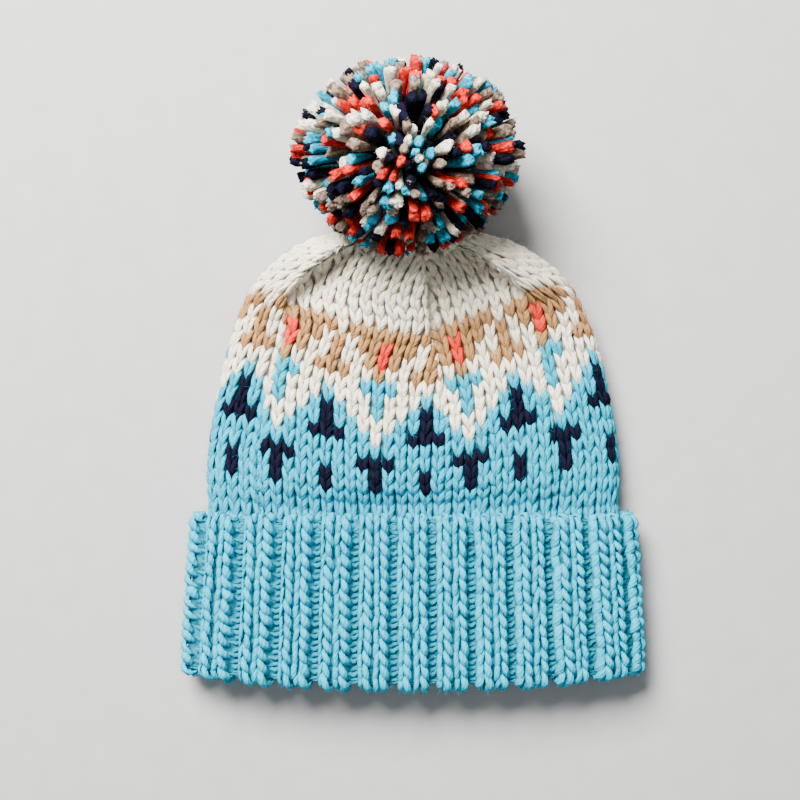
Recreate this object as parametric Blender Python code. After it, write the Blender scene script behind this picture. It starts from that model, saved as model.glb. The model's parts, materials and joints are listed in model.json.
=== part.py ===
"""Bobble hat of bulky yarn, lying flat with its pompom.

Metres, +Z up. +X runs across the hat and +Y from its opening towards the pompom. The origin is on the
surface that the hat lies on, at the middle of its length and width.
"""

import math
import random

import bmesh
import bpy
import numpy as np
from mathutils import Matrix, Vector
from mathutils.bvhtree import BVHTree

# Space between pieces that touch
GAP = 0.0003

# Brim: the ribbed end, folded up once
BRIM_DEPTH = 0.098  # from the fold to the cast-on edge
BRIM_FOLD_WIDTH = 0.260
BRIM_RIM_WIDTH = 0.249
BRIM_THICKNESS = 0.034  # over both sides of the hat
BRIM_WALL = 0.0062  # one layer, over a rib
BRIM_SETTLE = 0.0008  # how far its weight flattens it underneath
FOLD_BOW = 0.008  # how far the corners of the fold lie behind its middle
LAYER_GAP = 0.0006
RIB_COUNT = 24
GUTTER_DEPTH = 0.0026
INNER_GUTTER_DEPTH = 0.0014
BRIM_SQUARENESS = 5.0

# Crown: the knitted body, gathered at its end
CROWN_LENGTH = 0.167  # from its seat in the brim to the furthest fold
CROWN_WIDTH = 0.231
CROWN_THICKNESS = 0.028  # over both sides, where it lies on the surface
CROWN_WALL = 0.005
CROWN_CLEARANCE = 0.0001  # under the crown, which just clears the surface
SEAT_BELOW_RIM = 0.010
SIDE_SLACK = 0.0018  # room at the crown's sides inside the brim
SINK_LENGTH = 0.025  # over which the crown sinks to the surface beyond the brim
FOLD_DEPTH = 0.007
GATHER_HEIGHT = 0.036
GATHER_DIP = 0.006  # how far the gather lies behind the furthest fold
CROWN_COLUMNS = 60
CROWN_ROWS = 18

# Pompom: locks of cut yarn round a head
POMPOM_WIDTH = 0.122
POMPOM_LENGTH = 0.106  # along the hat
POMPOM_HEIGHT = 0.116
POMPOM_SETTLE = 0.003  # how far its weight flattens it underneath
POMPOM_REACH = 0.042  # from the gather to its centre, along the hat
POMPOM_SIDE = -0.003
POMPOM_CLEARANCE = 0.0018
HEAD_SHARE = 0.78
LOCK_SHARE = 0.68
LOCK_RAGGEDNESS = 0.07
LOCK_SEED = 4

# Tie: the yarn that holds the pompom
TIE_RADIUS = 0.004
TIE_GRIP = 0.012  # how far it reaches into the pompom's head
KNOT_RADIUS = 0.0062
KNOT_THICKNESS = 0.004
TIE_SIDES = 12

# A rib's outline round the brim: places as shares of a rib, gutters as shares of a gutter's depth
RIB_OUTLINE = (
    # place, gutter
    (0.00, 1.00),
    (0.17, 0.15),
    (0.50, 0.00),
    (0.83, 0.15),
)

# Exponents of the flattened rings: across the hat, across its underside, and upwards
UNDERSIDE_SQUARENESS = 6.0
UPWARD_SQUARENESS = 2.7

# The crown beyond the brim, a row for each section. Along is a share of CROWN_LENGTH, rise of the way up to
# GATHER_HEIGHT, turn of the tie's slope, width of CROWN_WIDTH, thickness of CROWN_THICKNESS and folds of
# FOLD_DEPTH. Squareness is the exponent across the hat.
CROWN_SECTIONS = (
    # along, rise, turn, width, thickness, squareness, folds
    (0.135, 0.01, 0.00, 1.000, 0.950, 4.0, 0.00),
    (0.245, 0.00, 0.00, 1.000, 1.000, 3.3, 0.00),
    (0.365, 0.00, 0.00, 0.977, 1.000, 3.0, 0.00),
    (0.490, 0.01, 0.03, 0.944, 1.010, 3.0, 0.08),
    (0.625, 0.07, 0.12, 0.893, 1.050, 3.0, 0.30),
    (0.745, 0.19, 0.27, 0.823, 1.130, 2.8, 0.62),
    (0.845, 0.36, 0.47, 0.730, 1.230, 2.6, 0.88),
    (0.915, 0.54, 0.66, 0.610, 1.300, 2.5, 0.80),
    (0.960, 0.72, 0.83, 0.465, 1.270, 2.4, 0.50),
    (0.982, 0.87, 0.95, 0.305, 1.080, 2.2, 0.26),
    (0.985, 0.96, 1.00, 0.165, 0.760, 2.0, 0.10),
)

# The folds that run into the gather. Place and spread are shares of half the width, depth of FOLD_DEPTH; a
# depth above nothing is a valley. Side is 1 on top and -1 underneath.
CROWN_FOLDS = (
    # side, place, spread, depth
    (1, -0.80, 0.20, -0.35),
    (1, -0.50, 0.13, 0.75),
    (1, -0.22, 0.16, -0.35),
    (1, 0.12, 0.12, 0.55),
    (1, 0.33, 0.12, -0.25),
    (1, 0.57, 0.14, 0.90),
    (1, 0.80, 0.16, -0.45),
    (-1, -0.62, 0.14, 0.60),
    (-1, -0.28, 0.18, -0.30),
    (-1, 0.06, 0.13, 0.70),
    (-1, 0.34, 0.16, -0.30),
    (-1, 0.66, 0.13, 0.55),
)

# Name, colour, roughness of each material
CROWN_MATERIAL = ("cream_yarn", (0.78, 0.72, 0.62), 0.9)
BRIM_MATERIAL = ("aqua_yarn", (0.16, 0.58, 0.66), 0.9)
POMPOM_MATERIAL = ("mixed_cut_yarn", (0.42, 0.40, 0.40), 0.95)
TIE_MATERIAL = ("tie_yarn", (0.72, 0.68, 0.60), 0.9)


def clear_scene():
    for thing in list(bpy.data.objects):
        bpy.data.objects.remove(thing, do_unlink=True)


def make_material(name, colour, roughness):
    material = bpy.data.materials.new(name)
    material.use_nodes = True
    shader = material.node_tree.nodes["Principled BSDF"]
    shader.inputs["Base Color"].default_value = (*colour, 1.0)
    shader.inputs["Roughness"].default_value = roughness
    shader.inputs["Metallic"].default_value = 0.0
    return material


def make_piece(name, points, faces, material, frame):
    mesh = bpy.data.meshes.new(name)
    mesh.from_pydata([tuple(point) for point in points], [], faces)
    shell = bmesh.new()
    shell.from_mesh(mesh)
    bmesh.ops.recalc_face_normals(shell, faces=shell.faces)
    shell.to_mesh(mesh)
    shell.free()
    mesh.shade_smooth()
    mesh.materials.append(make_material(*material))
    piece = bpy.data.objects.new(name, mesh)
    bpy.context.collection.objects.link(piece)
    piece.parent = frame
    return piece


def grid_faces(rows, columns):
    """Faces of a tube whose rows and columns both close on themselves."""
    faces = []
    for row in range(rows):
        for column in range(columns):
            right = (column + 1) % columns
            above = (row + 1) % rows
            faces.append(
                (
                    row * columns + column,
                    row * columns + right,
                    above * columns + right,
                    above * columns + column,
                )
            )
    return faces


def ring_shape(angles, squareness):
    """Where the angles lie on a flattened ring of half-width and half-thickness one."""
    across = np.where(np.sin(angles) < 0, UNDERSIDE_SQUARENESS, squareness)
    cosine, sine = np.cos(angles), np.sin(angles)
    return (
        np.sign(cosine) * np.abs(cosine) ** (2 / across),
        np.sign(sine) * np.abs(sine) ** (2 / UPWARD_SQUARENESS),
    )


def angles_at(shares, half_width, half_thickness, squareness):
    """Angles of the points at these shares of a ring's way round, from +X over the top."""
    steps = 1440
    angles = np.linspace(0.0, 2 * math.pi, steps + 1)
    x, z = ring_shape(angles, squareness)
    lengths = np.hypot(np.diff(x * half_width), np.diff(z * half_thickness))
    travelled = np.concatenate([[0.0], np.cumsum(lengths)])
    return np.interp(np.asarray(shares) * travelled[-1], travelled, angles)


def smooth_rows(table, count):
    """A smooth curve through a table's rows, read at even steps of its first and fourth columns."""
    table = np.array(table)
    padded = np.vstack([2 * table[0] - table[1], table, 2 * table[-1] - table[-2]])
    fine = []
    for row in range(1, len(padded) - 2):
        before, start, end, after = padded[row - 1 : row + 3]
        for share in np.linspace(0, 1, 16, endpoint=False):
            fine.append(
                start
                + 0.5 * share * (end - before)
                + share**2 * (before - 2.5 * start + 2 * end - 0.5 * after)
                + share**3 * (1.5 * (start - end) + 0.5 * (after - before))
            )
    fine = np.array(fine + [table[-1]])
    lengths = np.hypot(np.diff(fine[:, 0]), np.diff(fine[:, 3]))
    travelled = np.concatenate([[0.0], np.cumsum(lengths)])
    wanted = np.linspace(0, travelled[-1], count)
    return np.array([np.interp(wanted, travelled, column) for column in fine.T]).T


# Brim


def crown_seat():
    """Distance from the fold to the inner layer's edge, where the crown begins."""
    return BRIM_DEPTH - SEAT_BELOW_RIM


def brim_half_width(along):
    share = along / BRIM_DEPTH
    return (BRIM_FOLD_WIDTH + (BRIM_RIM_WIDTH - BRIM_FOLD_WIDTH) * share) / 2


def brim_middle():
    return BRIM_THICKNESS / 2 - BRIM_SETTLE


def bend(centre, outer, inner, direction, turns):
    """Half circles from the outer depths to the inner ones, bulging along the hat's length."""
    middle, radius = (outer + inner) / 2, (inner - outer) / 2
    return [
        (centre + direction * radius * np.sin(turn), middle - radius * np.cos(turn))
        for turn in turns
    ]


def brim_profile(gutter):
    """Rows of distances from the fold and depths under the outer face, for shares of a gutter's depth."""
    level = np.zeros_like(gutter)
    outer = GUTTER_DEPTH * gutter
    double = 2 * BRIM_WALL + LAYER_GAP
    inner = double - INNER_GUTTER_DEPTH * gutter
    seat = crown_seat()
    rim = BRIM_DEPTH - BRIM_WALL / 2
    low = double / 2
    rows = bend(low, outer, inner, -1, np.linspace(math.pi, 0, 6))
    rows += [(level + low + (rim - low) * share, outer) for share in (1 / 3, 2 / 3)]
    rows += bend(rim, outer, level + BRIM_WALL, 1, np.linspace(0, math.pi, 5))
    rows += [(level + low + (rim - low) / 2, level + BRIM_WALL)]
    rows += [(level + double, level + BRIM_WALL)]
    rows += [(level + double, level + BRIM_WALL + LAYER_GAP)]
    rows += [(level + low + (rim - low) / 2, level + BRIM_WALL + LAYER_GAP)]
    rows += [(level + seat, level + BRIM_WALL + LAYER_GAP), (level + seat, inner)]
    rows += [(level + low + (rim - low) / 2, inner)]
    return rows


def make_brim(frame):
    # Each side has a rib in its middle, so the gutters lie half a rib from the ring's start
    places = [rib + 0.5 + place for rib in range(RIB_COUNT) for place, _ in RIB_OUTLINE]
    gutter = np.array([share for _ in range(RIB_COUNT) for _, share in RIB_OUTLINE])
    shares = np.array(places) / RIB_COUNT % 1.0
    angles = angles_at(shares, brim_half_width(0), BRIM_THICKNESS / 2, BRIM_SQUARENESS)
    across, upward = ring_shape(angles, BRIM_SQUARENESS)
    rows = brim_profile(gutter)
    points = []
    for along, depth in rows:
        x = across * (brim_half_width(along) - depth)
        z = brim_middle() + upward * (BRIM_THICKNESS / 2 - depth)
        y = along + FOLD_BOW * across**2 * np.maximum(0.0, 1 - along / crown_seat())
        points.append(np.stack([x, y, np.maximum(z, 0.0)], axis=1))
    faces = grid_faces(len(rows), len(gutter))
    return make_piece("brim", np.concatenate(points), faces, BRIM_MATERIAL, frame)


# Crown


def gather_point():
    return np.array([POMPOM_SIDE, crown_seat() + CROWN_LENGTH - GATHER_DIP, GATHER_HEIGHT])


def pompom_centre():
    height = POMPOM_HEIGHT / 2 - POMPOM_SETTLE
    return np.array([POMPOM_SIDE, gather_point()[1] + POMPOM_REACH, height])


def tie_slope():
    return math.atan2(pompom_centre()[2] - GATHER_HEIGHT, POMPOM_REACH)


def crown_sections():
    """Rows of y, rise, turn, half-width, half-thickness, squareness and folds, from the seat to the hole."""
    seat = crown_seat()
    inset = BRIM_WALL + LAYER_GAP
    tied = BRIM_THICKNESS / 2 - inset
    held = [
        (along, 0.0, 0.0, brim_half_width(along) - inset - SIDE_SLACK, tied, BRIM_SQUARENESS, 0.0)
        for along in (seat + GAP, BRIM_DEPTH)
    ]
    rows = [held[1]]
    for along, rise, turn, width, thickness, squareness, folds in CROWN_SECTIONS:
        rows.append(
            (
                seat + along * CROWN_LENGTH,
                rise,
                turn,
                width * CROWN_WIDTH / 2,
                thickness * CROWN_THICKNESS / 2,
                squareness,
                folds,
            )
        )
    hole = TIE_RADIUS + GAP
    rows.append((gather_point()[1], 1.0, 1.0, hole, hole, 2.0, 0.0))
    return np.vstack([held[:1], smooth_rows(rows, CROWN_ROWS - 1)])


def crown_spine(sections):
    """Middle of each section: level with the brim first, then on the surface, then up to the gather."""
    start = brim_middle()
    lying = CROWN_THICKNESS / 2 + CROWN_CLEARANCE
    freed = np.clip((sections[:, 0] - BRIM_DEPTH) / SINK_LENGTH, 0, 1)
    level = start + (lying - start) * freed
    z = level + (GATHER_HEIGHT - level) * sections[:, 1]
    x = POMPOM_SIDE * sections[:, 1]
    return np.stack([x, sections[:, 0], z], axis=1)


def fold_depths(place, side):
    """Depth of the folds, as a share of FOLD_DEPTH, at places across one side."""
    depth = np.zeros_like(place)
    for fold_side, middle, spread, share in CROWN_FOLDS:
        reach = np.clip(np.abs(place - middle) / spread, 0, 1)
        depth += np.where(side == fold_side, share * (1 - reach**2) ** 2, 0.0)
    return depth


def crown_directions(sections):
    """Forward and upward directions of each section, which turn with the crown's middle line."""
    slope = sections[:, 2] * tie_slope()
    level = np.zeros_like(slope)
    forward = np.stack([level, np.cos(slope), np.sin(slope)], axis=1)
    upward = np.stack([level, -np.sin(slope), np.cos(slope)], axis=1)
    return forward, upward


def steepness(sections, spine, column):
    """How far each section's skin faces along the crown, by how fast one of its sizes shrinks."""
    forward = crown_directions(sections)[0]
    ahead = np.einsum("rx,rx->r", np.gradient(spine, axis=0), forward)
    shrinking = -np.gradient(sections[:, column])
    steep = shrinking / np.hypot(ahead, shrinking)
    steep[0], steep[-1] = 0.0, 1.0
    return steep


def crown_skin(sections, spine, depth):
    """A skin at this depth under the outer one, before it is folded."""
    shares = (np.arange(CROWN_COLUMNS) + 0.5) / CROWN_COLUMNS
    forward, upward = crown_directions(sections)
    steep = steepness(sections, spine, 3)
    inward = depth * np.sqrt(1 - steep**2)
    downward = depth * np.sqrt(1 - steepness(sections, spine, 4) ** 2)
    middle = spine - (depth * steep)[:, None] * forward
    skin = []
    for row, section in enumerate(sections):
        half_width, half_thickness, squareness = section[3:6]
        angles = angles_at(shares, half_width, half_thickness, squareness)
        across, up = ring_shape(angles, squareness)
        points = middle[row] + (up * (half_thickness - downward[row]))[:, None] * upward[row]
        points[:, 0] += across * (half_width - inward[row])
        skin.append(points)
    return np.array(skin)


def skin_normals(skin):
    """Outward directions of a skin at its points."""
    along = np.gradient(skin, axis=0)
    around = np.roll(skin, -1, axis=1) - np.roll(skin, 1, axis=1)
    normals = np.cross(along, around)
    return normals / np.linalg.norm(normals, axis=2, keepdims=True)


def folded(skin, sections, spine, normals):
    """The skin with the folds pressed into it, each at its place across the hat."""
    place = (skin[:, :, 0] - spine[:, None, 0]) / sections[:, None, 3]
    side = np.where(np.arange(CROWN_COLUMNS) < CROWN_COLUMNS / 2, 1, -1)
    depth = FOLD_DEPTH * sections[:, None, 6] * fold_depths(place, side[None, :])
    return skin - depth[:, :, None] * normals


def make_crown(frame):
    sections = crown_sections()
    spine = crown_spine(sections)
    outer = crown_skin(sections, spine, 0.0)
    inner = crown_skin(sections, spine, CROWN_WALL)
    normals = skin_normals(outer)
    outer, inner = (folded(skin, sections, spine, normals) for skin in (outer, inner))
    outer[:, :, 2] = np.maximum(outer[:, :, 2], CROWN_CLEARANCE)
    points = np.concatenate([outer, inner[::-1]]).reshape(-1, 3)
    faces = grid_faces(2 * CROWN_ROWS, CROWN_COLUMNS)
    return make_piece("crown", points, faces, CROWN_MATERIAL, frame)


# Pompom


def lock_cells():
    """The locks' directions on a ball of radius one, each with the corners of its cell in order."""
    ball = bmesh.new()
    bmesh.ops.create_icosphere(ball, subdivisions=3, radius=1.0)
    corners = [face.calc_center_median().normalized() for face in ball.faces]
    cells = []
    for vert in ball.verts:
        direction = vert.co.normalized()
        first = direction.orthogonal().normalized()
        second = direction.cross(first)
        around = sorted(
            (math.atan2(corners[face.index].dot(second), corners[face.index].dot(first)), face.index)
            for face in vert.link_faces
        )
        cells.append((direction, [index for _, index in around]))
    ball.free()
    return corners, cells


def set_along_tie(shape):
    """Turns a shape from +Z to the tie's line, with its origin at the gather."""
    turn = Matrix.Rotation(tie_slope() - math.pi / 2, 4, "X")
    place = Matrix.Translation(Vector(gather_point()))
    bmesh.ops.transform(shape, matrix=place @ turn, verts=shape.verts)


def tie_end():
    """Distance from the gather to the tie's end inside the pompom's head."""
    span = math.hypot(POMPOM_REACH, pompom_centre()[2] - GATHER_HEIGHT)
    return span - HEAD_SHARE * POMPOM_LENGTH / 2 + TIE_GRIP


def free_share(offset, centre, crown_tree):
    """The share of this offset from the pompom's centre that stays clear of the crown."""
    hit = crown_tree.ray_cast(centre, offset.normalized())[3]
    if hit is None:
        return 1.0
    return min(1.0, (hit - POMPOM_CLEARANCE) / offset.length)


def halfway(offsets):
    """Points halfway between neighbours of a ring."""
    return [(one + two) / 2 for one, two in zip(offsets, offsets[1:] + offsets[:1])]


def flank_points(tips, roots):
    """Points down the sides of a lock, from its tip towards its root."""
    return [
        tip.lerp(root, share)
        for tip, root in zip(tips + halfway(tips), roots + halfway(roots))
        for share in (0.0, 0.15, 0.3, 0.5, 0.75)
    ]


def cut_socket(pompom, frame):
    """Cuts the hole for the tie into the pompom's head."""
    depth = tie_end() + GAP
    bar = bmesh.new()
    bmesh.ops.create_cone(
        bar,
        cap_ends=True,
        segments=TIE_SIDES,
        radius1=TIE_RADIUS + GAP,
        radius2=TIE_RADIUS + GAP,
        depth=depth,
        matrix=Matrix.Translation((0, 0, depth / 2)),
    )
    set_along_tie(bar)
    mesh = bpy.data.meshes.new("socket_cutter")
    bar.to_mesh(mesh)
    bar.free()
    cutter = bpy.data.objects.new("socket_cutter", mesh)
    bpy.context.collection.objects.link(cutter)
    cutter.parent = frame
    cutter.hide_render = True
    cutter.display_type = "WIRE"
    cut = pompom.modifiers.new("socket", "BOOLEAN")
    cut.operation = "DIFFERENCE"
    cut.solver = "EXACT"
    cut.object = cutter


def make_pompom(frame, crown):
    centre = Vector(pompom_centre())
    radii = Vector((POMPOM_WIDTH / 2, POMPOM_LENGTH / 2, POMPOM_HEIGHT / 2))
    crown_tree = BVHTree.FromPolygons(
        [vert.co for vert in crown.data.vertices], [face.vertices for face in crown.data.polygons]
    )
    chance = random.Random(LOCK_SEED)
    corners, cells = lock_cells()
    points = []
    for corner in corners:
        offset = corner * radii * HEAD_SHARE
        points.append(centre + offset * free_share(offset, centre, crown_tree))
    faces = []
    for direction, ring in cells:
        length = 1.0 - LOCK_RAGGEDNESS * chance.random()
        middle = direction * radii
        spreads = [LOCK_SHARE * ((corners[corner] - direction) * radii) for corner in ring]
        tips = [length * (middle + spread) for spread in spreads]
        roots = [points[corner] - centre for corner in ring]
        tried = (length * middle, *flank_points(tips, roots))
        share = min(free_share(offset, centre, crown_tree) for offset in tried)
        first = len(points)
        points += [centre + tip * share for tip in tips]
        for step, corner in enumerate(ring):
            following = (step + 1) % len(ring)
            faces.append((corner, ring[following], first + following, first + step))
        faces.append(range(first, first + len(ring)))
    for point in points:
        point.z = max(point.z, 0.0)
    pompom = make_piece("pompom", points, faces, POMPOM_MATERIAL, frame)
    cut_socket(pompom, frame)
    return pompom


def make_tie(frame):
    """The tie's bar through the gather, with its knot inside the crown."""
    knot_face = -CROWN_WALL - GAP
    profile = (
        (0.0, knot_face - KNOT_THICKNESS),
        (KNOT_RADIUS, knot_face - KNOT_THICKNESS),
        (KNOT_RADIUS, knot_face),
        (TIE_RADIUS, knot_face),
        (TIE_RADIUS, tie_end()),
        (0.0, tie_end()),
    )
    turned = bmesh.new()
    outline = [turned.verts.new((radius, 0.0, height)) for radius, height in profile]
    edges = [turned.edges.new(pair) for pair in zip(outline, outline[1:])]
    bmesh.ops.spin(
        turned,
        geom=outline + edges,
        axis=(0, 0, 1),
        cent=(0, 0, 0),
        angle=2 * math.pi,
        steps=TIE_SIDES,
    )
    bmesh.ops.remove_doubles(turned, verts=turned.verts, dist=GAP / 10)
    set_along_tie(turned)
    turned.verts.index_update()
    points = [vert.co.copy() for vert in turned.verts]
    faces = [[vert.index for vert in face.verts] for face in turned.faces]
    turned.free()
    return make_piece("pompom_tie", points, faces, TIE_MATERIAL, frame)


def centre_length(frame, pieces):
    """Moves the frame so that the middle of the pieces' length is over the origin."""
    places = [vert.co.y for piece in pieces for vert in piece.data.vertices]
    frame.location.y = -(min(places) + max(places)) / 2


def main():
    clear_scene()
    frame = bpy.data.objects.new("hat", None)
    bpy.context.collection.objects.link(frame)
    brim = make_brim(frame)
    crown = make_crown(frame)
    pompom = make_pompom(frame, crown)
    tie = make_tie(frame)
    centre_length(frame, (brim, crown, pompom, tie))
    bpy.context.view_layer.update()


main()
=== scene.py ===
"""Finish for the bobble hat: its stitches, ribbing, cut-yarn pompom, stray fibres and studio.

Metres, +Z up. +X runs across the hat and +Y from its opening towards the pompom, and the hat lies flat on
the floor at Z = 0. Stitches are made in stitch space, where X counts columns, Y counts rows and Z is height
in column widths, and are then laid on a surface that says where each column and row lies.
"""

import json
import math
import random

import bmesh
import bpy
import numpy as np
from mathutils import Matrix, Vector

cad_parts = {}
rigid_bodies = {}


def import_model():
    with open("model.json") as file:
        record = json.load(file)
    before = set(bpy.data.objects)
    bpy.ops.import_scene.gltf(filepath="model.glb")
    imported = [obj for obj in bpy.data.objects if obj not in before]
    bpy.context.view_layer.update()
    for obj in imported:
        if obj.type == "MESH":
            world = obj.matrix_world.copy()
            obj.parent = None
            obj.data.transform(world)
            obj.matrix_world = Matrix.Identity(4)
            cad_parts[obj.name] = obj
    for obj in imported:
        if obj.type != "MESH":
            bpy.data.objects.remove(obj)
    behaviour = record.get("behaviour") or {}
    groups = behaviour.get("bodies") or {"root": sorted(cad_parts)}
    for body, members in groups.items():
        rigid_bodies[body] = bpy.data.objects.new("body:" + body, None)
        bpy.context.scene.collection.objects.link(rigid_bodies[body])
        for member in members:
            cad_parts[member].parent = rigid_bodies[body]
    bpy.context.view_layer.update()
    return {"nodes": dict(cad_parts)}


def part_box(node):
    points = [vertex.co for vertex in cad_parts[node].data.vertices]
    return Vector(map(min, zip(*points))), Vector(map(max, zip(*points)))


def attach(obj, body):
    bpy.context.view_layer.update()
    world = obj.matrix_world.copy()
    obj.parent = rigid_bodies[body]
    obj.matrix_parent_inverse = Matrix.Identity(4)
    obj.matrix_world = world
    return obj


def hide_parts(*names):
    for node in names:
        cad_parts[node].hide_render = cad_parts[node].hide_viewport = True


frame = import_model()

bl_info = {
    "name": "Bobble hat",
    "version": (1, 0, 0),
    "blender": (4, 5, 0),
    "location": "3D View > Sidebar > Bobble hat",
    "description": "Knits the stitches, ribs and pompom of a bobble hat over its solids",
    "category": "Object",
}

BRIM_LOW, BRIM_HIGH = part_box("brim")
POMPOM_LOW, POMPOM_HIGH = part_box("pompom")

# Brim: the ribbed end, folded up once
FOLD_Y = BRIM_LOW[1] - 0.0003
BRIM_DEPTH = BRIM_HIGH[1] - FOLD_Y
BRIM_FOLD_WIDTH = BRIM_HIGH[0] - BRIM_LOW[0] + 0.0007
BRIM_RIM_WIDTH = BRIM_FOLD_WIDTH - 0.011
BRIM_MIDDLE = 0.0162
BRIM_HALF = 0.017
BRIM_WALL = 0.0062
BRIM_STITCH_DEPTH = 0.0028
BRIM_BACKING_DEPTH = 0.0030
GUTTER_DEPTH = 0.0030
INNER_GUTTER_DEPTH = 0.0018
# Share of the aqua's colour that the gutters' yarn keeps: painted shade in the gutters
GUTTER_PAINTED_SHADE = 0.60
LAYER_GAP = 0.0006
DOUBLE = 2 * BRIM_WALL + LAYER_GAP
SEAT = BRIM_DEPTH - 0.010
FOLD_BOW = 0.008
BRIM_SQUARENESS = 5.0
RIBS = 24
BRIM_COLUMN = 0.0078
BEHIND_RIM = 0.012
# Length of the outer layer's path: behind the rim, over it, down the outside and round the fold
OUTER_LAYER = BEHIND_RIM + 0.009 + 0.092 + 0.020

# Crown: the knitted body, gathered at its end
CROWN_LENGTH = 0.167
CROWN_WIDTH = 0.231
CROWN_THICKNESS = 0.028
CROWN_WALL = 0.005
CROWN_STITCH_DEPTH = 0.0026
WALL_PLEAT_DEPTH = 0.0018
SINK_LENGTH = 0.025
GATHER = np.array([-0.003, FOLD_Y + SEAT + CROWN_LENGTH - 0.006, 0.036])
POMPOM_CENTRE = np.array(
    [-0.003, (POMPOM_LOW[1] + POMPOM_HIGH[1]) / 2, (POMPOM_LOW[2] + POMPOM_HIGH[2]) / 2 - 0.001]
)
POMPOM_RADII = (0.061, 0.0535, 0.058)
SHORTEST_END = 0.007
LONGEST_END = 0.08
CROWN_CLEARANCE = 0.005
END_BEND = 0.009
TIE_SLOPE = math.atan2(0.019, 0.042)
UNDERSIDE_SQUARENESS = 6.0
UPWARD_SQUARENESS = 2.7

CROWN_SECTIONS = (
    # along, rise, turn, width, thickness, squareness
    (0.135, 0.01, 0.00, 1.000, 0.950, 4.0),
    (0.245, 0.00, 0.00, 1.000, 1.000, 3.3),
    (0.365, 0.00, 0.00, 0.977, 1.000, 3.0),
    (0.490, 0.01, 0.03, 0.944, 1.010, 3.0),
    (0.625, 0.07, 0.12, 0.893, 1.050, 3.0),
    (0.745, 0.19, 0.27, 0.823, 1.130, 2.8),
    (0.845, 0.36, 0.47, 0.730, 1.230, 2.6),
    (0.915, 0.54, 0.66, 0.610, 1.300, 2.5),
    (0.960, 0.72, 0.83, 0.465, 1.270, 2.4),
    (0.982, 0.87, 0.95, 0.305, 1.080, 2.2),
    (0.985, 0.96, 1.00, 0.165, 0.760, 2.0),
)

# Stitch counts. Row 0 is the lowest row of the colour pattern.
COLUMNS = 72
FIRST_ROW = -5
LAST_ROW = 28
CROWN_ROW = 0.0069
SIDE_STRETCH = 0.15
RIM_ROW = -1.59
SAG_ROWS = 1.6
LEAN_ROWS = 0.32
CHART_SHIFT = 0.4
FIRST_STEM = 6
# A stitch deeper than this in a pleat is hidden, and the gather needs this much room
DEEPEST_STITCH = 0.0055
GATHER_ROOM = 0.006
# How stitch columns and rows are scaled and shifted into a carrier's UV places
PLACE_STEP = 0.01
PLACE_START = 0.1

# The folds that run into the gather, seen as pleats. Each has the column that its edge lies at in the cloth,
# the columns of the flat ring that it lies at low down and at the gather, the side that overlaps (1 the
# columns after it, -1 those before it), how far its overlapping edge stands up and its other edge sinks,
# in metres, how many columns the rise and the sinking reach over, and where on the crown's length it
# begins and is full grown.
PLEATS = (
    (5.3, 6.0, 9.9, -1, 0.0070, 0.0090, 3.8, 5.4, 0.68, 0.88),
    (20.8, 20.2, 20.9, -1, 0.0052, 0.0070, 5.5, 4.6, 0.48, 0.86),
    (29.8, 29.6, 25.0, 1, 0.0090, 0.0084, 4.2, 4.8, 0.74, 0.88),
    (42.1, 42.1, 42.1, 1, 0.0005, 0.0022, 3.0, 3.0, 0.60, 0.85),
    (52.9, 52.9, 52.9, -1, 0.0005, 0.0026, 3.0, 3.0, 0.60, 0.85),
    (65.2, 65.2, 65.2, -1, 0.0005, 0.0022, 3.0, 3.0, 0.60, 0.85),
)
PLEATED_COLUMN = 0.0069
PLEATS_TURN = 0.78
RIM_DIP = 0.0060

# One repeat of the colour pattern, rows from the top: a aqua, n navy, c cream, t tan, k coral. The fourth
# stitch is a T's stem and the last a drop's.
CHART_TOP = 12
CHART = (
    "tttttttc",
    "cttkttct",
    "cctktcct",
    "tcctcctt",
    "ccaaaccc",
    "cccaccca",
    "accaccan",
    "aacccaan",
    "naacaann",
    "aaaaaaaa",
    "aannnaaa",
    "aaanaaan",
    "aaanaaan",
)
YARNS = {"a": "aqua", "n": "navy", "c": "cream", "t": "tan", "k": "coral"}
POMPOM_YARNS = ("aqua", "cream", "coral", "navy", "taupe")

# Looks of each yarn: heather knitted and cut, paleness of its fibres knitted and cut, sheen and gloss
YARN_LOOKS = {
    "aqua": (0.12, 0.15, 0.12, 0.12, 0.12, 0.12),
    "cream": (0.10, 0.15, 0.22, 0.25, 0.30, 0.12),
    "tan": (0.25, 0.15, 0.22, 0.25, 0.30, 0.12),
    "coral": (0.12, 0.15, 0.22, 0.25, 0.30, 0.12),
    "navy": (0.05, 0.05, 0.05, 0.05, 0.10, 0.05),
    "taupe": (0.12, 0.30, 0.22, 0.25, 0.30, 0.12),
}
# Share of its colour that a yarn keeps in the crown: the crown's aqua is darker than the brim's
CROWN_DARKENING = {"aqua": 0.88}
# Nearly black colour of the pompom's dense middle: painted shade deep among the cut ends
HEAD_SHADE_COLOUR = (0.035, 0.030, 0.035)

# Strands
FLOOR_GAP = 0.0003
WALL_FLOOR_GAP = 0.0004
LEG_FLATNESS = 0.85
FIBRE_WIDTHS = (0.00007, 0.00013)
FIBRE_SHAPE_WIDTH = 0.125
CM2_IN_M2 = 10000.0

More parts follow.
